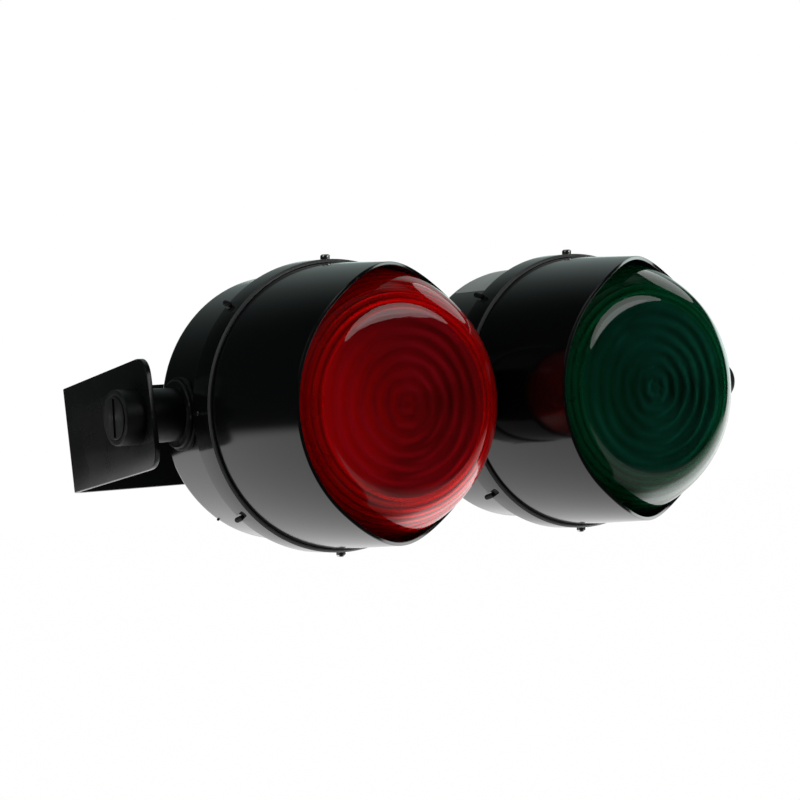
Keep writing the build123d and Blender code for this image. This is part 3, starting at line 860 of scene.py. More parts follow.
class Workshop:
    """Holds the finished materials, and puts pieces on the frame."""

    def __init__(self) -> None:
        """Builds every finish once."""
        self.materials = {slot: [finish.material() for finish in chosen] for slot, chosen in FINISHES.items()}

    def fit(self, name: str, mesh: Mesh, place: Matrix, body: Body, slot: Slot,
            *nodes: str) -> bpy.types.Object:
        """Places a finished piece on its body and dresses it.

        Args:
            name: Name of the piece.
            mesh: Its mesh in millimetres.
            place: Matrix from millimetres to the frame.
            body: The body that it moves with.
            slot: The slot of its finish.
            nodes: CAD nodes that it stands for.

        Returns:
            The piece.
        """
        bmesh.ops.transform(mesh, matrix=place, verts=mesh.verts)
        piece = to_object(name, mesh)
        for material in self.materials[slot]:
            piece.data.materials.append(material)
        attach(piece, body.value)
        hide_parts(*nodes)
        LOG.info("fitted %s: %d faces", name, len(piece.data.polygons))
        return piece

    def stick(self, name: str, mesh: Mesh, place: Matrix) -> None:
        """Sticks a blank label on the lamps.

        Args:
            name: Name of the piece.
            mesh: Its mesh in millimetres.
            place: Matrix from millimetres to the frame.
        """
        bmesh.ops.transform(mesh, matrix=place, verts=mesh.verts)
        piece = to_object(name, mesh)
        piece.data.materials.append(LABEL_FINISH.material())
        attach(piece, Body.LAMPS.value)
        LOG.info("stuck on %s", name)

    def dress(self, node: str, slot: Slot) -> None:
        """Gives a CAD node that stays in view its finish.

        Args:
            node: Name of the node.
            slot: The slot of its finish.
        """
        piece = frame["nodes"][node]
        piece.data.materials.clear()
        piece.data.materials.append(self.materials[slot][0])
        LOG.info("dressed %s", node)


@dataclass(frozen=True)
class BaseShell:
    """Moulded rear housing of a lamp: a round can with a wider rim that takes the cowl."""

    radius: float = 74.7
    wall: float = 3.0
    back: float = 23.5
    back_round: float = 5.0
    rim_radius: float = 80.5
    rim_front_radius: float = 80.0
    rim_shoulder: float = 26.5
    rim_rear: float = 28.4
    rim_bevel: float = 1.0
    seam: float = 45.8
    socket_radius: float = 78.2
    socket_bottom: float = 35.5
    seat: float = 33.0
    seat_radius: float = 75.7
    edge: float = 0.45
    thread_hole: float = 10.12
    screw_hole: float = 1.62
    screw_forward: float = 39.0
    pocket_radius: float = 2.0
    pocket: tuple[Polar, Polar] = ((80.0, 133.6, 26.0), (80.0, 137.0, 38.3))
    catch_radius: float = 1.55
    catch: tuple[Polar, Polar] = ((78.8, 133.4, 28.5), (79.6, 132.4, 21.5))
    nib_radius: float = 0.8
    nib_angle: float = 234.0
    nib_from_back: float = 3.5
    pip_radius: float = 1.6
    pip_forward: float = 34.0
    finish_margin: float = 0.1
    segments: int = 360

    def profile(self) -> Profile:
        """Half section of the can, with its edges rounded.

        Returns:
            The profile's points, as (radius, forward).
        """
        bore = self.radius - self.wall
        return rounded([
            (0, -self.back, 0),
            (self.radius, -self.back, self.back_round),
            (self.radius, self.rim_shoulder, 0.6),
            (self.rim_radius, self.rim_rear, self.edge),
            (self.rim_front_radius, self.seam - self.rim_bevel, 0.25),
            (self.rim_front_radius - self.rim_bevel, self.seam, 0.1),
            (self.socket_radius, self.seam, 0),
            (self.socket_radius, self.socket_bottom, 0),
            (self.seat_radius, self.socket_bottom, 0),
            (self.seat_radius, self.seat, 0),
            (bore, self.seat, 0),
            (bore, self.wall - self.back, 2.0),
            (0, self.wall - self.back, 0),
        ], steps=6)

    def in_quadrants(self, radius: float, ends: tuple[Polar, Polar]) -> list[tuple[float, Vector, Vector]]:
        """Repeats a short bar in the four quadrants about the lamp's axis.

        Args:
            radius: The bar's radius.
            ends: Its ends as (radius, angle, forward).

        Returns:
            The radius and the ends of each of the four bars.
        """
        points = [polar(r, math.radians(angle), forward) for r, angle, forward in ends]
        return [(radius, *(Vector((-across * point.x, point.y, up * point.z)) for point in points))
                for across in (-1, 1) for up in (-1, 1)]

    def bar_through(self, radius: float, segments: int) -> Mesh:
        """A round bar along the pivot line, longer than the shell is wide."""
        reach = 1.2 * self.rim_radius
        return turned([(-reach, 0), (-reach, radius), (reach, radius), (reach, 0)], Axis.PIVOT, segments)

    def finish_faces(self, mesh: Mesh, bars: list[tuple[float, Vector, Vector]]) -> None:
        """Sets the finishes of the front edge and of the pockets: pale grey on the front edge as a painted
        highlight, near black in the pockets and catches as painted shade.

        Args:
            mesh: The carved shell.
            bars: The pockets and catches, as in_quadrants() gives them.
        """
        def beyond(point: Vector, radius: float, start: Vector, end: Vector) -> float:
            """How far a point is outside a bar with domed ends."""
            share = intersect_point_line(point, start, end)[1]
            return (point - start.lerp(end, min(1.0, max(0.0, share)))).length - radius

        edge_from = self.seam - self.rim_bevel - 2 * self.finish_margin
        for face in mesh.faces:
            at = face.calc_center_median()
            # The rim's front bevel and front face take the pale grey finish, a painted highlight.
            front = -at.y > edge_from and math.hypot(at.x, at.z) > self.socket_radius + self.finish_margin / 2
            face.material_index = 1 if front else 0
            # Faces in the pockets and catches take the near black finish, a painted shade.
            for bar in bars:
                if beyond(at, *bar) < self.finish_margin and all(
                        beyond(vert.co, *bar) < 1.5 * self.finish_margin for vert in face.verts):
                    face.material_index = 2

    def mesh(self) -> Mesh:
        """The whole shell in its lamp's space.

        Returns:
            The mesh.
        """
        can = turned(self.profile(), Axis.LAMP, self.segments)
        threads = self.bar_through(self.thread_hole, 64)
        screws = self.bar_through(self.screw_hole, 24)
        upright = Matrix.Translation((0, -self.screw_forward, 0)) @ Matrix.Rotation(math.pi / 2, 4, "Y")
        bmesh.ops.transform(screws, matrix=upright, verts=screws.verts)
        pip_at = Vector((-self.rim_radius - self.pip_radius / 2, -self.pip_forward, 0))
        pip = capsule(self.pip_radius, pip_at, pip_at)
        nib_at = polar(self.radius, math.radians(self.nib_angle), self.nib_from_back - self.back)
        nib = capsule(self.nib_radius, nib_at, nib_at)
        pockets = self.in_quadrants(self.pocket_radius, self.pocket)
        catches = self.in_quadrants(self.catch_radius, self.catch)
        mesh = carved("base_shell", can, [*(capsule(*bar) for bar in pockets), threads, screws, pip],
                      [nib, *(capsule(*bar) for bar in catches)])
        self.finish_faces(mesh, pockets + catches)
        return mesh


@dataclass(frozen=True)
class Label:
    """Blank white label stuck on the outside of a shell."""

    radius: float = 74.7
    thickness: float = 0.15
    first_angle: float = 56.0
    last_angle: float = 124.5
    rear: float = -18.0
    front: float = 22.0
    corner: float = 2.0
    steps: int = 48

    def mesh(self) -> Mesh:
        """The label, bent round its shell, in its lamp's space.

        Returns:
            The mesh.
        """
        length = math.radians(self.last_angle - self.first_angle) * self.radius
        mesh = bmesh.new()
        outline = rounded([(0, self.rear, self.corner), (length, self.rear, self.corner),
                           (length, self.front, self.corner), (0, self.front, self.corner)], steps=6)
        mesh.faces.new([mesh.verts.new((along, -ahead, 0)) for along, ahead in outline])
        for step in range(1, self.steps):
            everything = mesh.verts[:] + mesh.edges[:] + mesh.faces[:]
            bmesh.ops.bisect_plane(mesh, geom=everything, plane_co=(length * step / self.steps, 0, 0),
                                   plane_no=(1, 0, 0))
        grown = bmesh.ops.extrude_face_region(mesh, geom=mesh.faces[:])["geom"]
        for vert in (item for item in grown if isinstance(item, bmesh.types.BMVert)):
            vert.co.z = self.thickness
        for vert in mesh.verts:
            angle = math.radians(self.first_angle) + vert.co.x / self.radius
            vert.co = polar(self.radius + vert.co.z, angle, -vert.co.y)
        bmesh.ops.recalc_face_normals(mesh, faces=mesh.faces)
        return mesh


@dataclass(frozen=True)
class Cowl:
    """Hood over the lens: long on one side, short on the other, with an S curve between."""

    root_radius: float = 78.0
    wall: float = 2.0
    rear: float = 35.7
    seam: float = 45.8
    long_reach: float = 127.0
    short_reach: float = 80.8
    taper: float = 3.6
    sweep: float = 50.0
    rib_rear: float = 37.0
    rib_front: float = 41.5
    rib_radius: float = 73.6
    lip: float = 0.35
    halvings: int = 40
    rounds: int = 30
    segments: int = 480

    def outer(self, forward: float) -> float:
        """Outer radius at a distance forward."""
        return self.root_radius - max(0.0, forward - self.seam) * math.tan(math.radians(self.taper))

    def edge_at(self, x: float) -> float:
        """How far forward the S-shaped edge is above a place across the lamp.

        Args:
            x: Place across the lamp, negative on the long side.

        Returns:
            The distance forward.
        """
        if abs(x) >= self.sweep:
            return self.long_reach if x < 0 else self.short_reach
        low, high = 0.0, 1.0
        for _ in range(self.halvings):
            t = (low + high) / 2
            u = 1 - t
            across = self.sweep * (-(u**3) - u * u * t + u * t * t + t**3)
            low, high = (t, high) if across < x else (low, t)
        return self.long_reach * (u**3 + 3 * u * u * t) + self.short_reach * (3 * u * t * t + t**3)

    def edge_round(self, angle: float, inset: float) -> float:
        """The edge's distance forward on one of the two walls.

        Args:
            angle: Angle about the lamp's axis.
            inset: Depth below the outer wall.

        Returns:
            The distance forward.
        """
        forward = self.long_reach
        for _ in range(self.rounds):
            forward = self.edge_at((self.outer(forward) - inset) * math.cos(angle))
        return forward

    def section(self, angle: float) -> Section:
        """The hood's closed section at one angle about the lamp's axis.

        Args:
            angle: Angle about the lamp's axis.

        Returns:
            The section's points in the lamp's space.
        """
        outside, inside = self.edge_round(angle, 0), self.edge_round(angle, self.wall)
        root = self.root_radius - self.wall
        profile = rounded([
            (self.root_radius, self.rear, 0.2),
            (self.root_radius, self.seam, 0),
            (self.outer(outside), outside, self.lip),
            (self.outer(inside) - self.wall, inside, self.lip),
            (root, self.seam, 0),
            (root, self.rib_front, 0),
            (self.rib_radius, self.rib_front, 0.3),
            (self.rib_radius, self.rib_rear, 0),
            (root, self.rib_rear, 0),
            (root, self.rear, 0),
        ], steps=5)
        return [polar(radius, angle, forward) for radius, forward in profile]

    def mesh(self) -> Mesh:
        """The whole hood in its lamp's space."""
        return skin([self.section(2 * math.pi * step / self.segments) for step in range(self.segments)])


@dataclass(frozen=True)
class Lens:
    """Coloured cap: smooth outside, with prism rings inside its shoulder and its face."""

    wall: float = 2.5
    radius: float = 73.2
    flange_radius: float = 75.5
    flange_rear: float = 34.5
    flange_front: float = 37.0
    straight: float = 80.0
    face: float = 115.0
    face_radius: float = 47.5
    crown: float = 1.3
    bulge: tuple[tuple[float, float], ...] = ((5.0, 16.8), (12.6, 28.2))
    side_rings: int = 11
    side_depth: float = 0.6
    face_rings: int = 6
    face_depth: float = 0.6
    first_ring: float = 2.6
    ring_steps: int = 10
    wobble: float = 0.3
    lobes: tuple[tuple[float, float, float], ...] = ((7, 0.35, 1.0), (4, -0.2, 0.7))
    curve_steps: int = 14
    crown_steps: int = 16
    segments: int = 256

    def shoulder(self) -> list[Vector]:
        """Samples of the shoulder's curve from the straight wall to the face.

        Returns:
            The samples, as (radius, forward).
        """
        points = [Vector((self.radius, self.straight))]
        points += [Vector((self.radius - inward, self.straight + ahead)) for inward, ahead in self.bulge]
        points.append(Vector((self.face_radius, self.face)))
        slope = 2 * self.crown / self.face_radius
        return smooth_curve(points, Vector((0, 1)), Vector((-1, slope)), self.curve_steps)

    def rise(self, radius: float) -> float:
        """How far the crowned face stands ahead of its rim at a radius."""
        return self.crown * (1 - (radius / self.face_radius) ** 2)

    def outside(self) -> Profile:
        """The smooth outer profile, from the flange to the middle of the face.

        Returns:
            The profile's points, as (radius, forward).
        """
        start = rounded([
            (self.radius - self.wall, self.flange_rear, 0),
            (self.flange_radius, self.flange_rear, 0.3),
            (self.flange_radius, self.flange_front, 0.3),
            (self.radius, self.flange_front, 0.3),
            (self.radius, self.straight, 0),
        ], closed=False)
        curve = [(point.x, point.y) for point in self.shoulder()[1:]]
        crown = []
        for step in range(1, self.crown_steps + 1):
            radius = self.face_radius * (1 - step / self.crown_steps)
            crown.append((radius, self.face + self.rise(radius)))
        return start + curve + crown

    def shoulder_rings(self) -> list[tuple[float, float, float]]:
        """Points of the shoulder's prism rings, as (radius, forward, crest).

        Returns:
            The points, from the straight wall to the face.
        """
        curve = self.shoulder()
        lengths = [0.0]
        for a, b in zip(curve, curve[1:]):
            lengths.append(lengths[-1] + (b - a).length)
        points = []
        for step in range(1, 2 * self.side_rings):
            goal = lengths[-1] * step / (2 * self.side_rings)
            index = next(i for i, length in enumerate(lengths) if length >= goal)
            share = (goal - lengths[index - 1]) / (lengths[index] - lengths[index - 1])
            place = curve[index - 1].lerp(curve[index], share)
            ahead = (curve[index] - curve[index - 1]).normalized()
            crest = step % 2
            depth = self.wall + self.side_depth * crest
            points.append((place.x - ahead.y * depth, place.y + ahead.x * depth, float(crest)))
        return points

    def face_rings_points(self) -> list[tuple[float, float, float]]:
        """Points of the face's wavy rings, as (radius, forward, crest).

        Returns:
            The points, from the face's rim to its middle.
        """
        count = self.face_rings * self.ring_steps
        points = []
        for step in range(count + 1):
            radius = self.face_radius - (self.face_radius - self.first_ring) * step / count
            crest = 0.5 + 0.5 * math.cos(2 * math.pi * step / self.ring_steps)
            ahead = self.face + self.rise(radius) - self.wall - self.face_depth * crest
            points.append((radius, ahead, crest))
        return points

    def inside(self) -> list[tuple[float, float, float]]:
        """The ringed inner profile, from the middle of the face back to the flange.

        Returns:
            The profile's points, as (radius, forward, crest).
        """
        bore = self.radius - self.wall
        points = [(bore, self.straight, 0.0), *self.shoulder_rings(), *self.face_rings_points(),
                  (0.0, self.face + self.crown - self.wall, 0.0)]
        return points[::-1]

    def mesh(self) -> Mesh:
        """The whole lens in its lamp's space, with its finishes on prisms and rings.

        Returns:
            The mesh.
        """
        outside, inside = self.outside(), self.inside()
        profile = outside + [(radius, ahead) for radius, ahead, _ in inside]
        crests = [0.0] * len(outside) + [crest for _, _, crest in inside]

        def wobble(angle: float, step: int) -> float:
            """A small unevenness of the inner rings, as moulded.

            Args:
                angle: Angle about the lamp's axis.
                step: Index of the profile's point.

            Returns:
                The change of radius, in millimetres.
            """
            radius = profile[step][0]
            if step < len(outside) or radius > self.face_radius:
                return 0.0
            lobes = sum(share * math.sin(count * angle + twist * radius)
                        for count, twist, share in self.lobes)
            return self.wobble * lobes * min(1.0, radius / (2 * self.first_ring))

        face_steps = self.face_rings * self.ring_steps + 2

        def finish_of(step: int) -> int:
            """Outside, prisms of the shoulder, or rings of the face.

            Args:
                step: Index of the profile's point.

            Returns:
                The index of the finish.
            """
            if step < len(outside) - 1:
                return 0
            return 2 if step < len(outside) + face_steps else 1

        return turned(profile, Axis.LAMP, self.segments, wobble, finish_of, crests)


@dataclass(frozen=True)
class PivotStack:
    """What stands on the pivot line at each end of the lamps."""

    thread: float = 10.12
    disc_face: float = 157.1
    disc_radius: float = 18.7
    spacer_face: float = 159.3
    spacer_end: float = 179.9
    spacer_inner: float = 14.4
    spacer_outer: float = 15.2
    ring_face: float = 183.1
    ring_end: float = 194.7
    ring_radius: float = 15.2
    recess_floor: float = 191.3
    plug_radius: float = 11.8
    plug_face: float = 195.3
    plug_shank: float = 8.0
    thread_bore: float = 7.38
    slot_width: float = 2.5
    slot_length: float = 21.0
    slot_depth: float = 2.0
    segments: int = 128

    def disc(self) -> Mesh:
        """Bevelled disc over the seal.

        Returns:
            The mesh, at the right end.
        """
        return turned(rounded([
            (self.disc_face, self.thread, 0),
            (self.disc_face, self.disc_radius, 0.2),
            (self.spacer_face - 0.7, self.disc_radius, 0.3),
            (self.spacer_face, self.disc_radius - 0.7, 0.3),
            (self.spacer_face, self.thread, 0),
        ]), Axis.PIVOT, self.segments)

    def spacer(self) -> Mesh:
        """Tapered sleeve between the disc and the flange.

        Returns:
            The mesh, at the right end.
        """
        return turned(rounded([
            (self.spacer_face, self.thread, 0),
            (self.spacer_face, self.spacer_inner, 0.3),
            (self.spacer_end, self.spacer_outer, 0.4),
            (self.spacer_end, self.thread, 0),
        ]), Axis.PIVOT, self.segments)

    def lock_ring(self) -> Mesh:
        """Ring nut outside the flange.

        Returns:
            The mesh, at the right end.
        """
        return turned(rounded([
            (self.ring_face, self.thread, 0),
            (self.ring_face, self.ring_radius, 0.3),
            (self.ring_end, self.ring_radius, 0.9),
            (self.ring_end, self.plug_radius + 0.2, 0.25),
            (self.recess_floor, self.plug_radius + 0.2, 0),
            (self.recess_floor, self.thread, 0),
        ]), Axis.PIVOT, self.segments)

    def plug(self) -> Mesh:
        """Blanking plug with its coin slot.

        Returns:
            The mesh, at the right end.
        """
        body = turned(rounded([
            (self.recess_floor - self.plug_shank, 0, 0),
            (self.recess_floor - self.plug_shank, self.thread_bore, 0.4),
            (self.recess_floor, self.thread_bore, 0),
            (self.recess_floor, self.plug_radius, 0.2),
            (self.plug_face, self.plug_radius, 0.5),
            (self.plug_face, 0, 0),
        ]), Axis.PIVOT, self.segments)
        slot = bmesh.new()
        bmesh.ops.create_cube(slot, size=1.0)
        size = Matrix.Diagonal((2 * self.slot_depth, self.slot_width, self.slot_length, 1))
        bmesh.ops.transform(slot, matrix=Matrix.Translation((self.plug_face, 0, 0)) @ size, verts=slot.verts)
        return carved("plug", body, [slot])


@dataclass(frozen=True)
class Bracket:
    """U bracket folded from flat bar. It is drawn flat and then folded."""

    flange_outer: float = 183.0
    reach: float = 115.0
    pivot_depth: float = 95.0
    half_height: float = 30.0
    sheet: float = 3.0
    inner_bend: float = 3.0
    corner: float = 12.0
    wall_hole: float = 4.5
    wall_hole_at: float = 100.0
    pivot_hole: float = 10.08
    edge: float = 0.35
    bend_steps: int = 10
    hole_steps: int = 64

    @property
    def outer_bend(self) -> float:
        """Outer radius of a bend."""
        return self.inner_bend + self.sheet

    @property
    def bend_start(self) -> float:
        """Distance along the strip, from its middle, at which a bend starts."""
        return self.flange_outer - self.outer_bend

    @property
    def bend_length(self) -> float:
        """Length of strip in a bend."""
        return (self.inner_bend + self.sheet / 2) * math.pi / 2

    def blank(self) -> Mesh:
        """The flat strip with its holes and round corners.

        Returns:
            The strip's mesh, with its length along X.
        """
        flat = self.reach - self.outer_bend
        half = self.bend_start + self.bend_length + flat
        inset = self.edge
        curve = bpy.data.curves.new("bracket_blank", "CURVE")
        curve.dimensions = "2D"
        curve.fill_mode = "BOTH"
        curve.extrude = self.sheet / 2 - inset
        curve.bevel_depth = inset
        curve.bevel_resolution = 3
        curve.offset = -inset
        outline = rounded([
            (-half, -self.half_height, self.corner), (half, -self.half_height, self.corner),
            (half, self.half_height, self.corner), (-half, self.half_height, self.corner),
        ], steps=12)
        pivot_at = self.bend_start + self.bend_length + self.pivot_depth - self.outer_bend
        loops = [outline]
        for x, radius in ((-self.wall_hole_at, self.wall_hole), (self.wall_hole_at, self.wall_hole),
                          (-pivot_at, self.pivot_hole), (pivot_at, self.pivot_hole)):
            turn = [2 * math.pi * step / self.hole_steps for step in range(self.hole_steps)]
            loops.append([(x + radius * math.cos(a), radius * math.sin(a)) for a in turn])
        for loop in loops:
            spline = curve.splines.new("POLY")
            spline.points.add(len(loop) - 1)
            spline.use_cyclic_u = True
            for point, (x, y) in zip(spline.points, loop):
                point.co = (x, y, 0, 1)
        drawn = bpy.data.objects.new("bracket_blank", curve)
        bpy.context.scene.collection.objects.link(drawn)
        mesh = evaluated_mesh(drawn)
        bmesh.ops.remove_doubles(mesh, verts=mesh.verts, dist=1e-4)
        for side in (-1, 1):
            for step in range(self.bend_steps + 1):
                at = side * (self.bend_start + self.bend_length * step / self.bend_steps)
                everything = mesh.verts[:] + mesh.edges[:] + mesh.faces[:]
                bmesh.ops.bisect_plane(mesh, geom=everything, plane_co=(at, 0, 0), plane_no=(1, 0, 0))
        return mesh

    def folded(self, x: float, across: float, depth: float) -> Vector:
        """Where a point of the flat strip goes when it is folded.

        Args:
            x: Distance along the strip from its middle.
            across: Distance across the strip.
            depth: Distance from the strip's inner face.

        Returns:
            The point in the frame's directions, in millimetres.
        """
        side = math.copysign(1, x)
        run = abs(x) - self.bend_start
        if run <= 0:
            return Vector((x, depth - self.sheet, across))
        radius = self.inner_bend + depth
        if run >= self.bend_length:
            beyond = run - self.bend_length
            return Vector((side * (self.bend_start + radius), -self.outer_bend - beyond, across))
        turn = run / self.bend_length * math.pi / 2
        return Vector((side * (self.bend_start + radius * math.sin(turn)),
                       -self.outer_bend + radius * math.cos(turn), across))

    def mesh(self) -> Mesh:
        """The folded bracket in the frame's directions.

        Returns:
            The mesh, in millimetres.
        """
        mesh = self.blank()
        for vert in mesh.verts:
            vert.co = self.folded(vert.co.x, vert.co.y, vert.co.z + self.sheet / 2)
        bmesh.ops.recalc_face_normals(mesh, faces=mesh.faces)
        return mesh


@dataclass(frozen=True)
class Gland:
    """Dome nut of the cable gland, fluted outside."""

    start: float = 203.4
    end: float = 230.9
    seat: float = 219.8
    radius: float = 10.8
    round_end: float = 4.0
    neck: float = 7.92
    bore: float = 5.0
    flutes: int = 12
    flute_radius: float = 2.0
    flute_depth: float = 0.8
    flute_end: float = 224.9
    flute_run_out: float = 0.3
    inner_from: float = 0.5

    def mesh(self) -> Mesh:
        """The fluted nut in the lamps' space.

        Returns:
            The mesh.
        """
        profile = rounded([
            (self.start, self.neck, 0),
            (self.start, self.radius, 0.4),
            (self.flute_end - 2 * self.flute_run_out, self.radius, 0),
            (self.flute_end, self.radius, 0),
            (self.end, self.radius, self.round_end),
            (self.end, self.bore, 0.4),
            (self.seat, self.bore, 0),
            (self.seat, self.neck, 0),
        ], steps=8)
        orbit = self.radius + self.flute_radius - self.flute_depth
        step_angle = 2 * math.pi / self.flutes

        def flute(angle: float, step: int) -> float:
            """How much a flute takes off the nut's outside.

            Args:
                angle: Angle about the pivot line.
                step: Index of the profile's point.

            Returns:
                The change of radius, in millimetres.
            """
            x, radius = profile[step]
            if radius < self.radius - self.inner_from or x > self.flute_end - self.flute_run_out:
                return 0.0
            away = (angle + step_angle / 2) % step_angle - step_angle / 2
            reach = orbit * math.sin(away)
            if abs(reach) >= self.flute_radius:
                return 0.0
            surface = orbit * math.cos(away) - math.sqrt(self.flute_radius**2 - reach**2)
            return min(0.0, surface - self.radius)

        return turned(profile, Axis.PIVOT, 16 * self.flutes, flute)


MIRROR = Matrix.Diagonal((-1, 1, 1, 1))
INSIDE = {
    Slot.BRIGHT_STEEL: ("cover_screws", "led_board_screws", "driver_screws"),
    Slot.SEAL_RUBBER: ("lens_gasket",),
    Slot.CIRCUIT_BOARD: ("led_board", "driver_board"),
    Slot.LED_PACKAGE: ("leds",),
    Slot.WOUND_CORE: ("choke",),
    Slot.CAPACITOR_SLEEVE: ("capacitor",),
    Slot.TERMINAL_PLASTIC: ("terminal_block",),
    Slot.NUT_BRASS: ("lock_nuts",),
}
ON_PIVOT = {
    Slot.FITTING: ("gland_body",),
    Slot.SEAL_RUBBER: ("right_seal", "left_seal", "gland_seal", "coupling_collar"),
    Slot.NUT_BRASS: ("right_stem", "left_stem", "coupling_nipple"),
}


class SignalLamp:
    """Builds the whole object: both lamps, the pivot stack and the bracket."""

    def __init__(self, shop: Workshop) -> None:
        """Keeps the workshop."""
        self.shop = shop

    def build_lamp(self, lamp: Lamp) -> None:
        """Builds one lamp's visible mouldings and dresses what is inside.

        Args:
            lamp: Which of the two lamps.
        """
        word, place = lamp.word, SPACE.place(lamp.value)
        lens_slot = Slot.LENS_RED if lamp is Lamp.RED else Slot.LENS_GREEN
        for node, part, slot in (("base_shell", BaseShell(), Slot.HOUSING), ("cowl", Cowl(), Slot.HOUSING),
                                 ("lens", Lens(), lens_slot)):
            piece = self.shop.fit(f"{word}_{node}_moulding", part.mesh(), place, Body.LAMPS, slot,
                                  f"{word}_{node}")
            piece.visible_shadow = node != "lens"
        for slot, nodes in INSIDE.items():
            for node in nodes:
                self.shop.dress(f"{word}_{node}", slot)
        if lamp is Lamp.GREEN:
            self.shop.stick("green_blank_label", Label().mesh(), place)

    def build_pivot(self) -> None:
        """Builds the stack at each end of the pivot line."""
        stack = PivotStack()
        for side, turn in (("right", Matrix()), ("left", MIRROR)):
            turned_pieces = {"disc": stack.disc(), "spacer": stack.spacer(), "lock_ring": stack.lock_ring()}
            for node, mesh in turned_pieces.items():
                self.fit_on_pivot(f"{side}_{node}_turned", mesh, turn, f"{side}_{node}")
        self.fit_on_pivot("blanking_plug_slotted", stack.plug(), MIRROR, "blanking_plug")
        self.fit_on_pivot("gland_nut_fluted", Gland().mesh(), Matrix(), "gland_nut")
        for slot, nodes in ON_PIVOT.items():
            for node in nodes:
                self.shop.dress(node, slot)

    def fit_on_pivot(self, name: str, mesh: Mesh, turn: Matrix, node: str) -> None:
        """Fits a turned piece on the pivot line.

        Args:
            name: Name of the piece.
            mesh: Its mesh at the right end.
            turn: Matrix that takes it to its own end.
            node: The CAD node that it stands for.
        """
        bmesh.ops.transform(mesh, matrix=turn, verts=mesh.verts)
        bmesh.ops.recalc_face_normals(mesh, faces=mesh.faces)
        self.shop.fit(name, mesh, SPACE.place(), Body.LAMPS, Slot.FITTING, node)

    def build_bracket(self) -> None:
        """Builds the folded bracket."""
        self.shop.fit("bracket_folded", Bracket().mesh(), Matrix.Scale(MM, 4), Body.BRACKET,
                      Slot.BRACKET_PAINT, "bracket")


@dataclass(frozen=True)
class Panel:
    """A soft light panel that faces the lamps."""

    name: str
    azimuth: float
    elevation: float
    width: float
    height: float
    radiance: float
    distance: float = 2.0

    def build(self) -> None:
        """Hangs the panel in the lamps' own directions."""
        light = bpy.data.lights.new(self.name, "AREA")
        light.shape = "ELLIPSE"
        light.size, light.size_y = self.width, self.height
        light.energy = self.radiance * math.pi * self.width * self.height * math.pi / 4
        around, up = math.radians(self.azimuth), math.radians(self.elevation)
        toward = Vector((math.sin(around) * math.cos(up), -math.cos(around) * math.cos(up), math.sin(up)))
        toward.rotate(SPACE.turn().to_euler())
        hung = bpy.data.objects.new(self.name, light)
        bpy.context.scene.collection.objects.link(hung)
        hung.location = SPACE.origin() + toward * self.distance
        hung.rotation_euler = toward.to_track_quat("Z", "Y").to_euler()
        hung.visible_camera = False
        LOG.info("hung %s", self.name)


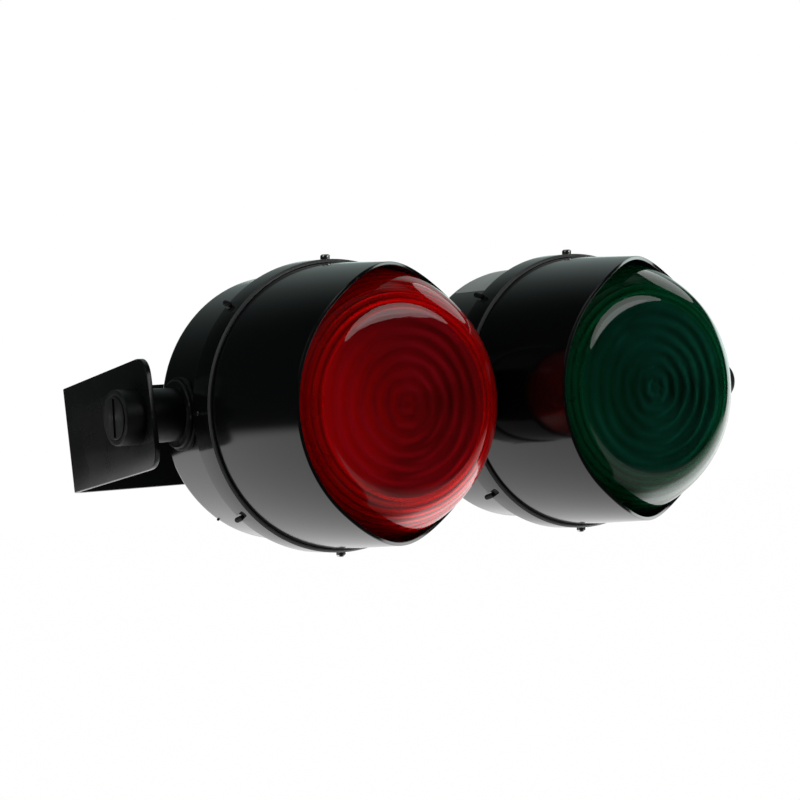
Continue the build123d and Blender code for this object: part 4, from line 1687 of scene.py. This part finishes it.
@dataclass(frozen=True)
class Studio:
    """White table below, dark studio above, soft panels and the camera."""

    table_drop: float = 0.33
    table_size: float = 8.0
    table_white: float = 0.9
    table_glow: float = 0.996
    room_dark: float = 0.013
    top_soft: float = 0.3
    under_share: float = 0.25
    front_share: float = 0.45
    right_share: float = 1.1
    back_share: float = 0.1
    hot_azimuth: float = 100.0
    hot_extra: float = 1.4
    backdrop_azimuth: float = 130.0
    backdrop_rise: float = 0.35
    table_edge: Range = (-0.12, -0.22)
    under_edge: Range = (-0.95, -0.75)
    top_edge: Range = (0.7, 0.95)
    window_top: Range = (0.75, 0.95)
    front_edge: Range = (-0.04, 0.04)
    side_edge: Range = (-0.06, 0.06)
    far_range: Range = (0.6, 1.0)
    hot_range: Range = (0.85, 0.99)
    backdrop_range: Range = (0.7, 0.92)
    backed_range: Range = (-0.4, 0.3)
    tint_range: Range = (-0.1, 0.1)
    window_fade: float = 3.6
    glow_azimuth: float = 126.0
    glow: float = 0.42
    glow_tint: Colour = (0.82, 1.0, 0.96)
    right_edge_azimuth: float = 12.0
    left_edge_azimuth: float = -90.0
    panels: tuple[Panel, ...] = (
        Panel("key_panel", 27.0, 23.0, 1.22, 1.1, 1.8),
        Panel("key_centre", 28.0, 17.0, 0.75, 0.56, 1.0),
        Panel("side_panel", 103.0, 34.5, 1.5, 0.85, 1.05),
        Panel("left_panel", -80.0, 34.0, 1.0, 1.2, 1.2),
    )
    camera_at: tuple[float, float, float] = (-0.69514, -1.16902, -0.13565)
    camera_right: tuple[float, float, float] = (0.84489554, -0.51948832, -0.12760643)
    camera_up: tuple[float, float, float] = (0.05192028, -0.15778313, 0.98610789)
    camera_back: tuple[float, float, float] = (-0.53240568, -0.83978352, -0.10633829)
    lens_mm: float = 99.516

    def build_world(self) -> None:
        """The room's light by direction: white from the table, nearly dark above its edge."""
        world = bpy.data.worlds.new("room")
        bpy.context.scene.world = world
        world.use_nodes = True
        tree = Tree(world.node_tree)
        seen = tree.add("ShaderNodeTexCoord").outputs["Generated"]
        level = tree.add("ShaderNodeMapping", {"Vector": seen, "Rotation": (-math.radians(SPACE.aim), 0, 0)})
        parts = tree.add("ShaderNodeSeparateXYZ", {"Vector": level.outputs[0]})
        flat = tree.add("ShaderNodeVectorMath", {0: level.outputs[0], 1: (1, 1, 0)}, operation="MULTIPLY")
        heading = tree.add("ShaderNodeVectorMath", {0: flat.outputs[0]}, operation="NORMALIZE").outputs[0]
        height = parts.outputs["Z"]

        def facing(azimuth: float) -> Socket:
            """How closely a direction's heading agrees with an azimuth, from -1 to 1.

            Args:
                azimuth: The azimuth in degrees.

            Returns:
                The agreement's socket.
            """
            around = math.radians(azimuth)
            inputs = {0: heading, 1: (math.sin(around), -math.cos(around), 0)}
            return tree.add("ShaderNodeVectorMath", inputs, operation="DOT_PRODUCT").outputs["Value"]

        right = facing(self.right_edge_azimuth + 90)
        near = tree.ramp(right, *self.front_edge, self.room_dark, self.front_share)
        far = tree.ramp(right, *self.far_range, 0.0, self.right_share - self.front_share)
        left = tree.ramp(facing(self.left_edge_azimuth - 90), *self.side_edge, self.room_dark, 1.0)
        hot = tree.ramp(facing(self.hot_azimuth), *self.hot_range, 0.0, self.hot_extra)
        lit = tree.math("MAXIMUM", tree.sum(near, far, hot), left)
        rise = tree.ramp(facing(self.backdrop_azimuth), *self.backdrop_range, 0.0, self.backdrop_rise)
        table = tree.product(tree.ramp(tree.math("SUBTRACT", height, rise), *self.table_edge), lit,
                             tree.ramp(height, *self.under_edge, self.under_share, 1.0))
        backed = tree.ramp(facing(180.0), *self.backed_range, self.back_share, 1.0)
        top = tree.product(tree.ramp(height, *self.top_edge, 0.0, self.top_soft), backed)
        fade = tree.math("POWER", tree.math("MAXIMUM", facing(self.glow_azimuth), 0.0), self.window_fade)
        sided = tree.ramp(facing(self.glow_azimuth + 90), *self.side_edge)
        window = tree.product(fade, sided, self.glow, tree.ramp(height, *self.window_top, 1.0, 0.0))
        above = tree.math("MAXIMUM", top, tree.sum(window, self.room_dark))
        light = tree.math("MAXIMUM", table, above)
        tint = tree.mix(tree.ramp(height, *self.tint_range), grey(1.0), self.glow_tint)
        tinted = tree.add("ShaderNodeVectorMath", {0: tint, "Scale": light}, operation="SCALE").outputs[0]
        camera = tree.add("ShaderNodeLightPath").outputs["Is Camera Ray"]
        background = world.node_tree.nodes["Background"]
        world.node_tree.links.new(tree.mix(camera, tinted, grey(1.0)), background.inputs["Color"])

    def build_table(self) -> None:
        """The white table: only the camera sees it, and it keeps the object's soft shadow."""
        material = bpy.data.materials.new("table_white")
        material.use_nodes = True
        tree = Tree(material.node_tree)
        material.node_tree.nodes.remove(material.node_tree.nodes["Principled BSDF"])
        matt = tree.add("ShaderNodeBsdfDiffuse", {"Color": (*grey(self.table_white), 1)})
        glow = tree.add("ShaderNodeEmission", {"Color": (1, 1, 1, 1)})
        camera = tree.add("ShaderNodeLightPath").outputs["Is Camera Ray"]
        share = tree.product(camera, self.table_glow)
        both = tree.add("ShaderNodeMixShader", {0: share, 1: matt.outputs[0], 2: glow.outputs[0]})
        surface = material.node_tree.nodes["Material Output"].inputs["Surface"]
        material.node_tree.links.new(both.outputs[0], surface)
        mesh = bmesh.new()
        bmesh.ops.create_grid(mesh, x_segments=8, y_segments=8, size=self.table_size / 2)
        lie = Matrix.Translation(SPACE.origin()) @ SPACE.turn() @ Matrix.Translation((0, 0, -self.table_drop))
        bmesh.ops.transform(mesh, matrix=lie, verts=mesh.verts)
        table = to_object("table", mesh)
        table.data.materials.append(material)
        for ray in ("visible_diffuse", "visible_glossy", "visible_transmission", "visible_shadow"):
            setattr(table, ray, False)

    def build_camera(self) -> None:
        """The camera at the photograph's angle."""
        data = bpy.data.cameras.new("camera")
        data.lens = self.lens_mm
        data.sensor_width = 36.0
        camera = bpy.data.objects.new("camera", data)
        bpy.context.scene.collection.objects.link(camera)
        axes = Matrix((self.camera_right, self.camera_up, self.camera_back)).transposed()
        camera.matrix_world = Matrix.Translation(self.camera_at) @ axes.to_4x4()
        bpy.context.scene.camera = camera

    def build(self) -> None:
        """Sets up the world, the table, the panels and the camera."""
        bpy.context.scene.view_settings.view_transform = "Standard"
        self.build_world()
        self.build_table()
        for panel in self.panels:
            panel.build()
        self.build_camera()


def main() -> None:
    """Builds the object and its studio, in order."""
    logging.basicConfig(level=logging.INFO, format="%(name)s: %(message)s")
    Studio().build()
    signal = SignalLamp(Workshop())
    for lamp in Lamp:
        signal.build_lamp(lamp)
    signal.build_pivot()
    signal.build_bracket()


if __name__ == "__main__":
    main()
